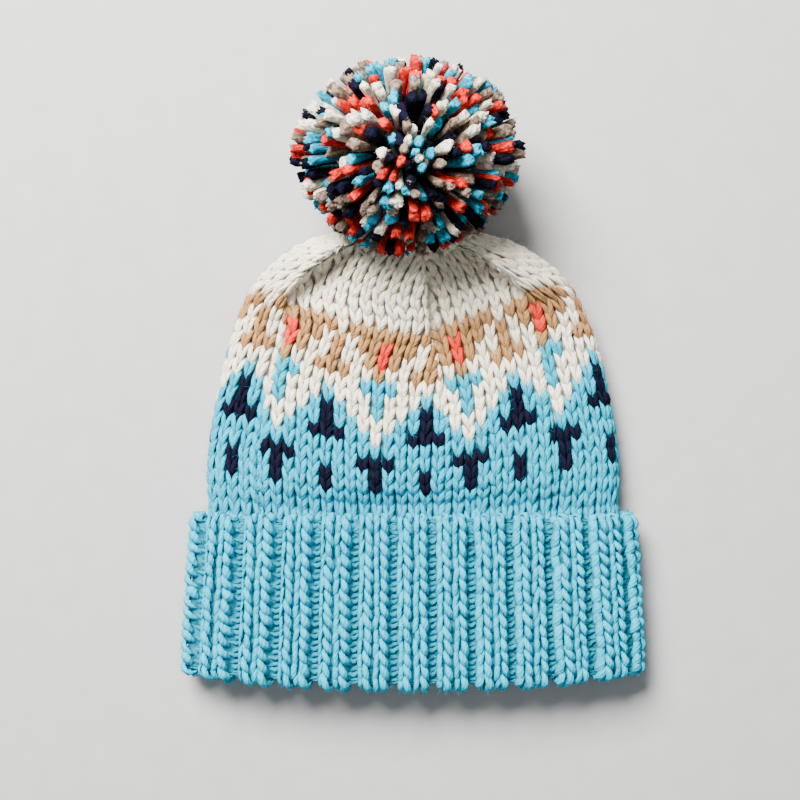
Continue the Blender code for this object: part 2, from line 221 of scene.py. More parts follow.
# Legs of a stitch. A crown leg is the right leg of a V.
CROWN_LEG = (
    # x, y, z and radius, in column widths and rows
    (0.060, -0.84, -0.12, 0.07),
    (0.085, -0.48, 0.12, 0.165),
    (0.150, -0.10, 0.28, 0.215),
    (0.240, 0.30, 0.31, 0.230),
    (0.315, 0.64, 0.18, 0.190),
    (0.365, 0.94, -0.08, 0.09),
)
BRIM_CHUNKY_LEG = (
    (0.035, -0.80, -0.10, 0.08),
    (-0.060, -0.48, 0.20, 0.165),
    (-0.150, -0.16, 0.36, 0.215),
    (-0.235, 0.17, 0.36, 0.215),
    (-0.320, 0.49, 0.18, 0.160),
    (-0.400, 0.80, -0.12, 0.08),
)
BRIM_SMOOTH_LEG = (
    (0.235, -0.84, -0.06, 0.10),
    (0.262, -0.48, 0.12, 0.160),
    (0.284, -0.12, 0.19, 0.178),
    (0.302, 0.26, 0.19, 0.180),
    (0.318, 0.62, 0.11, 0.160),
    (0.335, 0.94, -0.06, 0.10),
)
PURL_HIGH = (
    (-0.66, -0.04, -0.16, 0.12),
    (-0.36, 0.18, 0.01, 0.19),
    (0.00, 0.36, 0.09, 0.23),
    (0.36, 0.28, -0.01, 0.19),
    (0.66, 0.14, -0.18, 0.12),
)
PURL_LOW = (
    (-0.66, -0.16, -0.20, 0.12),
    (-0.36, -0.20, -0.06, 0.19),
    (0.00, -0.18, 0.00, 0.22),
    (0.36, -0.06, -0.08, 0.19),
    (0.66, 0.06, -0.22, 0.12),
)

# Height and radius of a cut end's rings
CUT_END_PROFILE = (
    (0.00, 0.45),
    (0.45, 0.70),
    (0.74, 0.96),
    (0.92, 1.06),
    (0.985, 0.92),
)

# Stage
FLOOR_HALF = 4.0
SKY_STRENGTH = 0.22
CAMERA_PLACE = (-0.0074, -0.0100)
LIGHTS = (
    # name, place, width, watts, colour
    ("window", (-0.50, 0.90, 1.16), 0.75, 132.0, (1.0, 0.985, 0.96)),
    ("overhead", (0.1, -0.2, 2.0), 1.8, 7.0, (0.95, 0.98, 1.0)),
)


def colour_property(name, description, default):
    return bpy.props.FloatVectorProperty(
        name=name, description=description, subtype="COLOR", size=3, default=default
    )


def length_property(name, description, default, low, high):
    return bpy.props.FloatProperty(
        name=name, description=description, default=default, min=low, max=high, unit="LENGTH"
    )


def share_property(name, description, default, low, high):
    return bpy.props.FloatProperty(
        name=name, description=description, default=default, min=low, max=high, subtype="FACTOR"
    )


class HatKnit(bpy.types.PropertyGroup):
    aqua: colour_property("Aqua", "Yarn of the brim", (0.002, 0.41, 0.585))
    cream: colour_property("Cream", "Yarn of the crown's end", (0.92, 0.83, 0.67))
    tan: colour_property("Tan", "Yarn of the zigzag band", (0.38, 0.195, 0.078))
    coral: colour_property("Coral", "Yarn of the small accents", (0.66, 0.032, 0.020))
    navy: colour_property("Navy", "Yarn of the T shapes", (0.005, 0.005, 0.016))
    taupe: colour_property("Taupe", "Grey-brown yarn in the pompom", (0.24, 0.175, 0.13))
    crown_yarn: length_property(
        "Crown yarn",
        "Width of one column of the crown's stitches, which sets how thick its yarn is",
        0.0068,
        0.003,
        0.012,
    )
    brim_yarn: length_property("Brim yarn", "Width that sets how thick the brim's yarn is", 0.0078, 0.003, 0.014)
    brim_row: length_property("Brim row", "Height of one row of the brim", 0.0067, 0.004, 0.012)
    unevenness: share_property(
        "Unevenness", "How much hand-knitted stitches differ from one another", 0.10, 0.0, 0.3
    )
    fuzz: bpy.props.FloatProperty(
        name="Fuzz", description="Stray fibres on each square centimetre of yarn", default=7.0, min=0.0, max=20.0
    )
    fuzz_length: length_property("Fuzz length", "Length of the longest stray fibres", 0.0052, 0.001, 0.015)


class HatPompom(bpy.types.PropertyGroup):
    spacing: length_property("Spacing", "Space between the roots of the cut ends", 0.0027, 0.002, 0.012)
    thickness: length_property("End radius", "Radius of a cut end of yarn", 0.0028, 0.001, 0.006)
    head: share_property("Head", "Size of the dense middle, as a share of the pompom", 0.52, 0.3, 0.8)
    seed: bpy.props.IntProperty(name="Seed", description="Arrangement of the cut ends", default=5, min=0)


class HatStage(bpy.types.PropertyGroup):
    camera_height: length_property("Camera height", "Height of the camera over the floor", 0.80, 0.3, 3.0)
    focal_length: bpy.props.FloatProperty(
        name="Focal length", description="Lens of the camera, in millimetres", default=63.0, min=20.0, max=200.0
    )
    floor_colour: colour_property("Floor", "Colour of the plain floor", (0.46, 0.46, 0.455))


# Surfaces


def quarter_ring(squareness, count=200):
    """A quarter of a flattened ring, from its top to its side, finely where it turns."""
    half_turn = math.sqrt(0.5)
    x = np.linspace(0, half_turn ** (2 / squareness), count)
    top = np.stack([x, (1 - x**squareness) ** (1 / UPWARD_SQUARENESS)])
    z = np.linspace(half_turn ** (2 / UPWARD_SQUARENESS), 0, count)
    side = np.stack([(1 - z**UPWARD_SQUARENESS) ** (1 / squareness), z])
    return np.hstack([top, side[:, 1:]])


def ring_points(shares, half_width, half_thickness, squareness):
    """Shares of the half-width and half-thickness, at shares of a ring's way round, from +X over the top."""
    upper = quarter_ring(squareness)
    under = quarter_ring(UNDERSIDE_SQUARENESS)
    x = np.concatenate([upper[0, ::-1], -upper[0, 1:], -under[0, -2::-1], under[0, 1:]])
    z = np.concatenate([upper[1, ::-1], upper[1, 1:], -under[1, -2::-1], -under[1, 1:]])
    lengths = np.hypot(np.diff(x * half_width), np.diff(z * half_thickness))
    travelled = np.concatenate([[0.0], np.cumsum(lengths)])
    wanted = np.mod(shares, 1.0) * travelled[-1]
    return np.interp(wanted, travelled, x), np.interp(wanted, travelled, z), travelled[-1]


def smooth_curve(table, count, axes, steps):
    """A smooth curve through a table's rows, read at even lengths along some of its columns."""
    table = np.array(table, float)
    padded = np.vstack([2 * table[0] - table[1], table, 2 * table[-1] - table[-2]])
    fine = []
    for row in range(1, len(padded) - 2):
        before, start, end, after = padded[row - 1 : row + 3]
        for share in np.linspace(0, 1, steps, endpoint=False):
            fine.append(
                start
                + 0.5 * share * (end - before)
                + share**2 * (before - 2.5 * start + 2 * end - 0.5 * after)
                + share**3 * (1.5 * (start - end) + 0.5 * (after - before))
            )
    fine = np.array(fine + [table[-1]])
    lengths = np.linalg.norm(np.diff(fine[:, axes], axis=0), axis=1)
    travelled = np.concatenate([[0.0], np.cumsum(lengths)])
    wanted = np.linspace(0, travelled[-1], count)
    return np.array([np.interp(wanted, travelled, column) for column in fine.T]).T


def brim_half_width(along):
    return (BRIM_FOLD_WIDTH + (BRIM_RIM_WIDTH - BRIM_FOLD_WIDTH) * along / BRIM_DEPTH) / 2


def crown_sections(count):
    """Rows of y from the fold, rise, turn, half-width, half-thickness and squareness."""
    inset = BRIM_WALL + LAYER_GAP
    held = [
        (along, 0.0, 0.0, brim_half_width(along) - inset - 0.0018, BRIM_HALF - inset, BRIM_SQUARENESS)
        for along in (SEAT + 0.0003, BRIM_DEPTH)
    ]
    rows = [held[1]]
    for along, rise, turn, width, thickness, squareness in CROWN_SECTIONS:
        size = (width * CROWN_WIDTH / 2, thickness * CROWN_THICKNESS / 2)
        rows.append((SEAT + along * CROWN_LENGTH, rise, turn, *size, squareness))
    rows.append((GATHER[1] - FOLD_Y, 1.0, 1.0, 0.0045, 0.0045, 2.0))
    return np.vstack([held[:1], smooth_curve(rows, count - 1, [0, 3], 16)])


def pleat_growth(along):
    """How far each pleat has grown at a share of the crown's length, from nothing to one."""
    begins, fulls = np.array([pleat[8:10] for pleat in PLEATS]).T
    share = np.clip((along - begins) / (fulls - begins), 0, 1)
    return share * share * (3 - 2 * share)


def pleat_edges(along):
    """Columns of the flat ring that the pleats' edges lie at, at a share of the crown's length."""
    cloth, low, high = np.array([pleat[:3] for pleat in PLEATS]).T
    settled = min(max((along - 0.45) / 0.2, 0.0), 1.0)
    share = min(max((along - PLEATS_TURN) / (1 - PLEATS_TURN), 0.0), 1.0)
    return cloth + (low - cloth) * settled + (high - low) * share


def pleat_relief(columns, edges, growth):
    """How far the skin stands out beside the pleats, at columns of the flat ring."""
    relief = np.zeros_like(columns)
    for edge, grown, pleat in zip(edges, growth, PLEATS):
        side, lift, sink, up_reach, down_reach = pleat[3:8]
        away = np.mod(columns - edge + COLUMNS / 2, COLUMNS) - COLUMNS / 2
        over = 0.5 + 0.5 * np.tanh(side * away / 0.4)
        relief += grown * over * lift * np.exp(-((away / up_reach) ** 2))
        relief -= grown * (1 - over) * sink * np.exp(-((away / down_reach) ** 2))
    return relief


def outward(points):
    """Unit normals of a grid of points, rows first and then columns."""
    normals = np.cross(np.gradient(points, axis=1), np.gradient(points, axis=0))
    return normals / np.maximum(np.linalg.norm(normals, axis=2, keepdims=True), 1e-12)


def crown_skin(columns, count=160):
    """The crown's skin, normals and girth, and its pleats' growth and edges, rows from the seat up.

    Columns run from -X over the top to +X and back underneath, starting at -X.
    """
    sections = crown_sections(count)
    start, lying = BRIM_MIDDLE, CROWN_THICKNESS / 2 + 0.0001
    freed = np.clip((sections[:, 0] - BRIM_DEPTH) / SINK_LENGTH, 0, 1)
    level = start + (lying - start) * freed
    z = level + (GATHER[2] - level) * sections[:, 1]
    spine = np.stack([GATHER[0] * sections[:, 1], FOLD_Y + sections[:, 0], z], axis=1)
    slope = sections[:, 2] * TIE_SLOPE
    upward = np.stack([slope * 0, -np.sin(slope), np.cos(slope)], axis=1)
    shares = 0.5 - columns / COLUMNS
    skin, girth = [], []
    for row, section in enumerate(sections):
        half_width, half_thickness, squareness = section[3:6]
        across, up, around = ring_points(shares, half_width, half_thickness, squareness)
        points = spine[row] + (up * half_thickness)[:, None] * upward[row]
        points[:, 0] += across * half_width
        skin.append(points)
        girth.append(around)
    skin = np.array(skin)
    along = (sections[:, 0] - SEAT) / CROWN_LENGTH
    growth = [pleat_growth(share) for share in along]
    edges = [pleat_edges(share) for share in along]
    fade = np.clip(sections[:, 3] / 0.035, 0, 1)
    relief = np.array([pleat_relief(columns, *pair) for pair in zip(edges, growth)]) * fade[:, None]
    above = np.sqrt(np.clip(np.sin(2 * math.pi * columns / COLUMNS), 0, 1))
    relief -= RIM_DIP * np.exp(-(((sections[:, 0] - BRIM_DEPTH - 0.003) / 0.011) ** 2))[:, None] * above
    skin = skin + relief[:, :, None] * outward(skin)
    return skin, outward(skin), np.array(girth), growth, edges


def pleated(columns, girth, growth, edges, deepest):
    """Where columns lie on a skin that has grown too narrow for them, and how deep in a pleat.

    Panels between pleats keep their columns' width, and what has no room turns down into the pleats,
    the more so into those that have grown.
    """
    cloth = np.array([pleat[0] for pleat in PLEATS])
    cloth = np.array([cloth[-1] - COLUMNS, *cloth, cloth[0] + COLUMNS])
    flat = np.array([edges[-1] - COLUMNS, *edges, edges[0] + COLUMNS])
    grown = np.array([growth[-1], *growth, growth[0]]) + 0.25
    panel = np.clip(np.searchsorted(cloth, columns) - 1, 0, len(cloth) - 2)
    width = cloth[panel + 1] - cloth[panel]
    flat_half = (flat[panel + 1] - flat[panel]) / 2
    room = np.minimum(width, 2 * flat_half * girth / (COLUMNS * PLEATED_COLUMN)) / 2
    before = (width - 2 * room) * grown[panel] / (grown[panel] + grown[panel + 1])
    after = width - 2 * room - before
    away = columns - cloth[panel] - before - room
    bend = np.minimum(0.8, np.where(away < 0, before, after)) + 1e-6
    beyond = np.abs(away) - (room - bend)
    turn = np.clip(beyond / bend, 0, math.pi / 2)
    reach = np.where(beyond > 0, room - bend + bend * np.sin(turn), np.abs(away))
    depth = bend * (1 - np.cos(turn)) + np.maximum(0, beyond - bend * math.pi / 2)
    depth = np.where(beyond > 0, depth, 0.0) * PLEATED_COLUMN
    return flat[panel] + flat_half + np.sign(away) * reach * flat_half / room, np.minimum(depth, deepest)


def rim_row(columns):
    """Row that lies at the brim's rim: rows sag between the hat's sides, and a little to the left."""
    turn = 2 * math.pi * np.asarray(columns) / COLUMNS
    return RIM_ROW - SAG_ROWS * (1 + np.cos(2 * turn)) / 2 + LEAN_ROWS * np.cos(turn)


def crown_carrier(columns, rows, depth, deepest=0.03):
    """Points of the crown's surface at stitch columns and rows, their depths in a pleat, and what is left."""
    even = np.arange(-6, COLUMNS + 6.01, 0.25)
    skin, normals, girth, growth, edges = crown_skin(even)
    steps = np.linalg.norm(np.diff(skin, axis=0), axis=2)
    travelled = np.vstack([np.zeros(len(even)), np.cumsum(steps, axis=0)])
    laid = np.empty((len(skin), len(columns), 3))
    deep = np.empty((len(skin), len(columns)))
    for row in range(len(skin)):
        places, deep[row] = pleated(columns, girth[row], growth[row], edges[row], deepest)
        for axis in range(3):
            point = np.interp(places, even, skin[row, :, axis])
            laid[row, :, axis] = point - (depth + deep[row]) * np.interp(places, even, normals[row, :, axis])
    points = np.empty((len(rows), len(columns), 3))
    sunk = np.empty((len(rows), len(columns)))
    left = np.empty((len(rows), len(columns)))
    rim = BRIM_DEPTH - SEAT
    first = rim_row(columns)
    order = np.arange(len(skin))
    for column, place in enumerate(columns):
        along = np.array([np.interp(place, even, line) for line in travelled])
        longer = 1 + SIDE_STRETCH * (1 + math.cos(4 * math.pi * place / COLUMNS)) / 2
        wanted = rim + (rows - first[column]) * CROWN_ROW * longer
        index = np.interp(wanted, along, order)
        for axis in range(3):
            points[:, column, axis] = np.interp(index, order, laid[:, column, axis])
        sunk[:, column] = np.interp(index, order, deep[:, column])
        left[:, column] = along[-1] - wanted
        points[:, column, 1] += np.minimum(wanted, 0.0)
    return points, sunk, left


def rib_place(columns):
    """Share of the way round for stitch columns of the brim, three to a rib, the purl one narrow."""
    rib = np.floor(columns / 3)
    inside = columns - 3 * rib
    place = np.interp(inside, [0, 0.5, 1, 2, 3], [-0.098, 0.0, 0.098, 0.5, 0.902])
    return (rib + place + 0.5) / RIBS, place


def rib_relief(place):
    """How far the ribs' surface lies back, as a share of a gutter's depth."""
    reach = np.minimum(np.abs(place), 1 - np.abs(place))
    sunk = np.clip((0.205 - reach) / 0.12, 0, 1)
    crest = np.clip(reach / 0.5, 0, 1)
    return 0.86 * sunk**2 * (3 - 2 * sunk) + 0.14 * (1 - crest) ** 2


def brim_path(gutter, depth, steps=30):
    """Distances from the fold and depths, from behind the rim over the outside to the inner layer's edge."""
    outer = GUTTER_DEPTH * gutter + depth
    inner = DOUBLE - INNER_GUTTER_DEPTH * gutter - depth
    rim, low = BRIM_DEPTH - BRIM_WALL / 2, DOUBLE / 2
    back = BRIM_WALL - depth * 0.3
    path = [(along, back) for along in np.linspace(rim - BEHIND_RIM, rim, 8, endpoint=False)]
    middle, radius = (outer + back) / 2, (back - outer) / 2
    for turn in np.linspace(math.pi, 0, 12, endpoint=False):
        path.append((rim + (radius + 0.0008) * math.sin(turn), middle - radius * math.cos(turn)))
    path += [(along, outer) for along in np.linspace(rim, low, steps, endpoint=False)]
    middle, radius = (outer + inner) / 2, (inner - outer) / 2
    for turn in np.linspace(0, math.pi, 20, endpoint=False):
        path.append((low - radius * math.sin(turn), middle - radius * math.cos(turn)))
    path += [(along, inner) for along in np.linspace(low, SEAT - 0.001, steps)]
    return np.array(path)


def brim_points(shares, paths):
    """Points of the brim, rows along the path and columns round the hat."""
    across, upward, _ = ring_points(shares, brim_half_width(0), BRIM_HALF, BRIM_SQUARENESS)
    along, depth = paths[:, :, 0], paths[:, :, 1]
    x = across[None, :] * (brim_half_width(along) - depth)
    z = BRIM_MIDDLE + upward[None, :] * (BRIM_HALF - depth)
    bow = FOLD_BOW * across[None, :] ** 2 * np.clip(1 - along / SEAT, 0, 1.2)
    return np.stack([x, FOLD_Y + along + bow, z], axis=2)


def brim_carrier(columns, rows, depth, row_height, relief=1.0):
    """Points of the brim's outer and inner faces at these stitch columns and rows."""
    shares, place = rib_place(columns)
    level = brim_path(0.0, depth)
    travelled = np.concatenate([[0], np.cumsum(np.hypot(*np.diff(level, axis=0).T))])
    wanted = np.asarray(rows) * row_height
    paths = np.empty((len(rows), len(columns), 2))
    for column, gutter in enumerate(rib_relief(place) * relief):
        path = brim_path(gutter, depth)
        for axis in range(2):
            paths[:, column, axis] = np.interp(wanted, travelled, path[:, axis])
    return brim_points(shares, paths), travelled[-1] / row_height


# Meshes and pieces


def link(thing):
    bpy.context.collection.objects.link(thing)
    return thing


def hidden(name, mesh):
    thing = link(bpy.data.objects.new(name, mesh))
    thing.hide_render = True
    return thing


def remove(*things):
    for thing in things:
        bpy.data.objects.remove(thing)


def grid_faces(rows, columns, closed=False):
    """Faces of a grid of points, which closes on itself both ways or not at all."""
    last_row, last_column = (rows, columns) if closed else (rows - 1, columns - 1)
    return [
        (
            row * columns + column,
            row * columns + (column + 1) % columns,
            (row + 1) % rows * columns + (column + 1) % columns,
            (row + 1) % rows * columns + column,
        )
        for row in range(last_row)
        for column in range(last_column)
    ]


def set_points(mesh, name, kind, values):
    """Gives each of a mesh's points its own vector or colour."""
    made = mesh.attributes.new(name, kind, "POINT")
    key = "color" if kind == "FLOAT_COLOR" else "vector"
    made.data.foreach_set(key, values.reshape(-1).astype(np.float32))


def make_carrier(name, points, columns, rows, wide, lift):
    """A hidden surface that carries stitches, with the place and the lift of each column and row."""
    mesh = bpy.data.meshes.new(name)
    mesh.from_pydata(points.reshape(-1, 3).tolist(), [], grid_faces(len(rows), len(columns)))
    lift = lift / np.maximum(np.linalg.norm(lift, axis=2, keepdims=True), 1e-9)
    width = np.linalg.norm(np.gradient(points, axis=1), axis=2) / (columns[1] - columns[0])
    plump = np.clip(width / wide, 0.45, 1.1) ** 0.5
    across, upward = np.meshgrid(columns, rows)
    place = np.stack([across * PLACE_STEP + PLACE_START, upward * PLACE_STEP + PLACE_START, across * 0], axis=2)
    set_points(mesh, "lift", "FLOAT_VECTOR", lift * plump[:, :, None])
    set_points(mesh, "place", "FLOAT_VECTOR", place)
    return hidden(name, mesh)


def strand_mesh(name, rings, tip=None):
    """A closed strand through rings of points, its yarn's UV map the shares round it and along it."""
    shell = bmesh.new()
    layer = shell.loops.layers.uv.new("yarn")
    rings = [[shell.verts.new(point) for point in ring] for ring in rings]
    steps, sides = len(rings) - 1, len(rings[0])
    faces = []
    for row in range(steps):
        for side in range(sides):
            corners = ((side, row), (side + 1, row), (side + 1, row + 1), (side, row + 1))
            verts = [rings[along][around % sides] for around, along in corners]
            faces.append((verts, [(around / sides, along / steps) for around, along in corners]))
    if tip:
        point = shell.verts.new(tip)
        for side in range(sides):
            verts = (rings[-1][side], rings[-1][(side + 1) % sides], point)
            faces.append((verts, [(side / sides, 1.0)] * 3))
    faces.append((rings[0][::-1], [(0.5, 0.0)] * sides))
    if not tip:
        faces.append((rings[-1], [(0.5, 1.0)] * sides))
    for verts, places in faces:
        for loop, place in zip(shell.faces.new(verts).loops, places):
            loop[layer].uv = place
    bmesh.ops.recalc_face_normals(shell, faces=shell.faces)
    mesh = bpy.data.meshes.new(name)
    shell.to_mesh(mesh)
    shell.free()
    return mesh


def closed_shell(name, outer, inner, colours, material):
    """A closed wall between two grids of points whose columns close on themselves."""
    rows, columns = outer.shape[:2]
    points = np.concatenate([outer, inner[::-1]]).reshape(-1, 3)
    mesh = bpy.data.meshes.new(name)
    mesh.from_pydata(points.tolist(), [], grid_faces(2 * rows, columns, closed=True))
    set_points(mesh, "yarn_colour", "FLOAT_COLOR", np.concatenate([colours, colours[::-1]]))
    layer = mesh.uv_layers.new(name="stitch")
    for face in mesh.polygons:
        first = min(mesh.loops[index].vertex_index % columns for index in face.loop_indices)
        for index in face.loop_indices:
            row, column = divmod(mesh.loops[index].vertex_index, columns)
            if first == 0 and column == columns - 1:
                column = -1
            layer.data[index].uv = (column * COLUMNS / columns, row / 2.0)
    shell = bmesh.new()
    shell.from_mesh(mesh)
    bmesh.ops.recalc_face_normals(shell, faces=shell.faces)
    shell.to_mesh(mesh)
    shell.free()
    mesh.shade_smooth()
    mesh.materials.append(material)
    return link(bpy.data.objects.new(name, mesh))


def finish_piece(thing, slot, *replaced):
    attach(thing, "root")
    if replaced:
        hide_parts(*replaced)


# Node trees


class Tree:
    """Adds nodes to a tree and joins their sockets."""

    def __init__(self, tree):
        self.tree = tree

    def node(self, kind, settings=None, inputs=(), **values):
        """Adds a node: first its settings, then its inputs in their order, and then those with a name."""
        made = self.tree.nodes.new(kind)
        for key, value in (settings or {}).items():
            if key == "stops":
                self.set_stops(made.color_ramp, value)
            else:
                setattr(made, key, value)
        for socket, value in zip(made.inputs, inputs):
            self.feed(socket, value)
        for key, value in values.items():
            self.feed(self.socket(made.inputs, key.replace("_", " ")), value)
        return made

    @staticmethod
    def set_stops(ramp, stops):
        while len(ramp.elements) < len(stops):
            ramp.elements.new(0.5)
        for element, (place, colour) in zip(ramp.elements, stops):
            element.position = place
            element.color = (*colour, 1.0)

    @staticmethod
    def socket(sockets, name=None):
        """The first socket in use, or the one with this name."""
        for socket in sockets:
            if socket.enabled and (name is None or socket.name.lower() == name.lower()):
                return socket
        raise KeyError(f"no socket {name!r} in {[socket.name for socket in sockets if socket.enabled]}")

    def feed(self, socket, value):
        if isinstance(value, Value):
            self.tree.links.new(value.socket, socket)
        else:
            socket.default_value = value

    def out(self, node, name=None):
        return Value(self, self.socket(node.outputs, name))

    def maths(self, operation, *operands, clamp=False):
        return self.out(self.node("ShaderNodeMath", {"operation": operation, "use_clamp": clamp}, operands))

    def vector(self, operation, *operands):
        return self.out(self.node("ShaderNodeVectorMath", {"operation": operation}, operands))

    def scaled(self, vector, factor):
        return self.out(self.node("ShaderNodeVectorMath", {"operation": "SCALE"}, Vector=vector, Scale=factor))

    def parts(self, vector):
        made = self.node("ShaderNodeSeparateXYZ", Vector=vector)
        return [Value(self, output) for output in made.outputs]

    def joined(self, x, y, z):
        return self.out(self.node("ShaderNodeCombineXYZ", X=x, Y=y, Z=z))

    def noise(self, where, scale, detail, output="Fac"):
        made = self.node("ShaderNodeTexNoise", Vector=where, Scale=scale, Detail=detail)
        return self.out(made, output)


def expression(operation, reflected=False):
    """A method that adds a Math node for an operator, the other operand first where it is reflected."""

    def apply(self, other):
        return self.tree.maths(operation, *((other, self) if reflected else (self, other)))

    return apply


class Value:
    """A socket that takes part in expressions on numbers."""

    def __init__(self, tree, socket):
        self.tree = tree
        self.socket = socket

    __add__, __radd__ = expression("ADD"), expression("ADD", True)
    __sub__, __rsub__ = expression("SUBTRACT"), expression("SUBTRACT", True)
    __mul__, __rmul__ = expression("MULTIPLY"), expression("MULTIPLY", True)
    __truediv__, __rtruediv__ = expression("DIVIDE"), expression("DIVIDE", True)


class GeometryTree(Tree):
    """A Geometry Nodes tree with named inputs, given as their types and names."""

    def __init__(self, name, inputs):
        super().__init__(bpy.data.node_groups.new(name, "GeometryNodeTree"))
        face = self.tree.interface
        face.new_socket("Geometry", in_out="OUTPUT", socket_type="NodeSocketGeometry")
        face.new_socket("Geometry", in_out="INPUT", socket_type="NodeSocketGeometry")
        for kind, names in inputs.items():
            for key in names:
                face.new_socket(key, in_out="INPUT", socket_type="NodeSocket" + kind)
        self.start = self.node("NodeGroupInput")
        self.end = self.node("NodeGroupOutput")

    def take(self, name):
        return Value(self, self.start.outputs[name])

    def random(self, kind, low, high, seed):
        return self.out(self.node("FunctionNodeRandomValue", {"data_type": kind}, Min=low, Max=high, Seed=seed))

    def random_vector(self, low, high, seed):
        return self.random("FLOAT_VECTOR", low, high, seed)

    def attribute(self, name):
        settings = {"data_type": "FLOAT_VECTOR"}
        return self.out(self.node("GeometryNodeInputNamedAttribute", settings, Name=name))

    def position(self):
        return self.out(self.node("GeometryNodeInputPosition"))

    def body(self, name):
        """The geometry of an object that is given as an input."""
        return self.out(self.node("GeometryNodeObjectInfo", Object=self.take(name)), "Geometry")

    def both(self, one, two):
        return self.out(self.node("FunctionNodeBooleanMath", {"operation": "AND"}, (one, two)))

    def compared(self, kind, operation, one, two):
        settings = {"data_type": kind, "operation": operation}
        return self.out(self.node("FunctionNodeCompare", settings, A=one, B=two))

    def facing(self, direction):
        """A rotation that stands +Z along a direction."""
        return self.out(self.node("FunctionNodeAlignRotationToVector", {"axis": "Z"}, Vector=direction))

    def moved(self, geometry, **how):
        return self.out(self.node("GeometryNodeSetPosition", Geometry=geometry, **how))

    def realized(self, geometry):
        return self.out(self.node("GeometryNodeRealizeInstances", Geometry=geometry))

    def together(self, *parts):
        made = self.node("GeometryNodeJoinGeometry")
        for part in parts:
            self.feed(made.inputs[0], part)
        return self.out(made)

    def copies(self, points, shape, rotation, scale, palest, seed, **more):
        """Copies of a shape on points, each with a tint of its own from this number up to one."""
        placed = self.node(
            "GeometryNodeInstanceOnPoints",
            Points=points,
            Instance=self.body(shape),
            Rotation=rotation,
            Scale=scale,
            **more,
        )
        tinted = self.node(
            "GeometryNodeStoreNamedAttribute",
            {"data_type": "FLOAT", "domain": "INSTANCE"},
            Geometry=self.out(placed),
            Name="tint",
            Value=self.random("FLOAT", palest, 1.0, seed),
        )
        return self.out(tinted)


def run_tree(thing, tree, values):
    """Sets a tree's inputs by their identifiers, and makes its result the object's plain mesh."""
    modifier = thing.modifiers.new("made", "NODES")
    modifier.node_group = tree
    names = {item.name: item.identifier for item in tree.interface.items_tree if item.in_out == "INPUT"}
    for key, value in values.items():
        modifier[names[key]] = value
    thing.update_tag()
    bpy.context.view_layer.update()
    graph = bpy.context.evaluated_depsgraph_get()
    made = bpy.data.meshes.new_from_object(thing.evaluated_get(graph))
    thing.modifiers.remove(modifier)
    old = thing.data
    thing.data = made
    made.name = thing.name
    bpy.data.meshes.remove(old)
    if not len(made.polygons):
        raise RuntimeError(f"{thing.name} came out empty")
    return thing


def add_fuzz(tree, surface, along_from):
    """Stray fibres beyond this share of the yarn's length, on its upper side where that is all of it."""
    around, along, _ = tree.parts(tree.attribute("yarn"))
    grown = tree.maths("GREATER_THAN", along, along_from)
    if not along_from:
        grown = grown * tree.maths("LESS_THAN", tree.maths("ABSOLUTE", around - 0.5), 0.27)
    seed = tree.take("Seed")
    spread = tree.node(
        "GeometryNodeDistributePointsOnFaces",
        {"distribute_method": "RANDOM"},
        Mesh=surface,
        Density=grown * tree.take("Fuzz") * CM2_IN_M2,
        Seed=seed + 11,
    )
    wander = tree.random_vector((-0.9,) * 3, (0.9,) * 3, seed + 12)
    lean = tree.vector("ADD", tree.out(spread, "Normal"), wander)
    length = tree.random("FLOAT", 0.35, 1.0, seed + 13) * tree.take("Fuzz length")
    width = tree.random("FLOAT", *FIBRE_WIDTHS, seed + 14) / FIBRE_SHAPE_WIDTH
    scale = tree.joined(width, width, length)
    points = tree.out(spread, "Points")
    return tree.realized(tree.copies(points, "Fibre", tree.facing(lean), scale, 0.5, seed + 15))


def finish_tree(tree, yarn, along_from=0.0):
    """Adds the stray fibres, keeps all of it above the floor, and ends the tree."""
    x, y, z = tree.parts(tree.position())
    raised = tree.joined(x, y, tree.maths("MAXIMUM", z, tree.take("Floor")))
    laid = tree.moved(tree.together(yarn, add_fuzz(tree, yarn, along_from)), Position=raised)
    smooth = tree.node("GeometryNodeSetShadeSmooth", Geometry=laid, Shade_Smooth=True)
    whole = tree.realized(tree.out(smooth))
    final = tree.node("GeometryNodeSetMaterial", Geometry=whole, Material=tree.take("Material"))
    tree.feed(tree.end.inputs[0], tree.out(final))
    return tree.tree


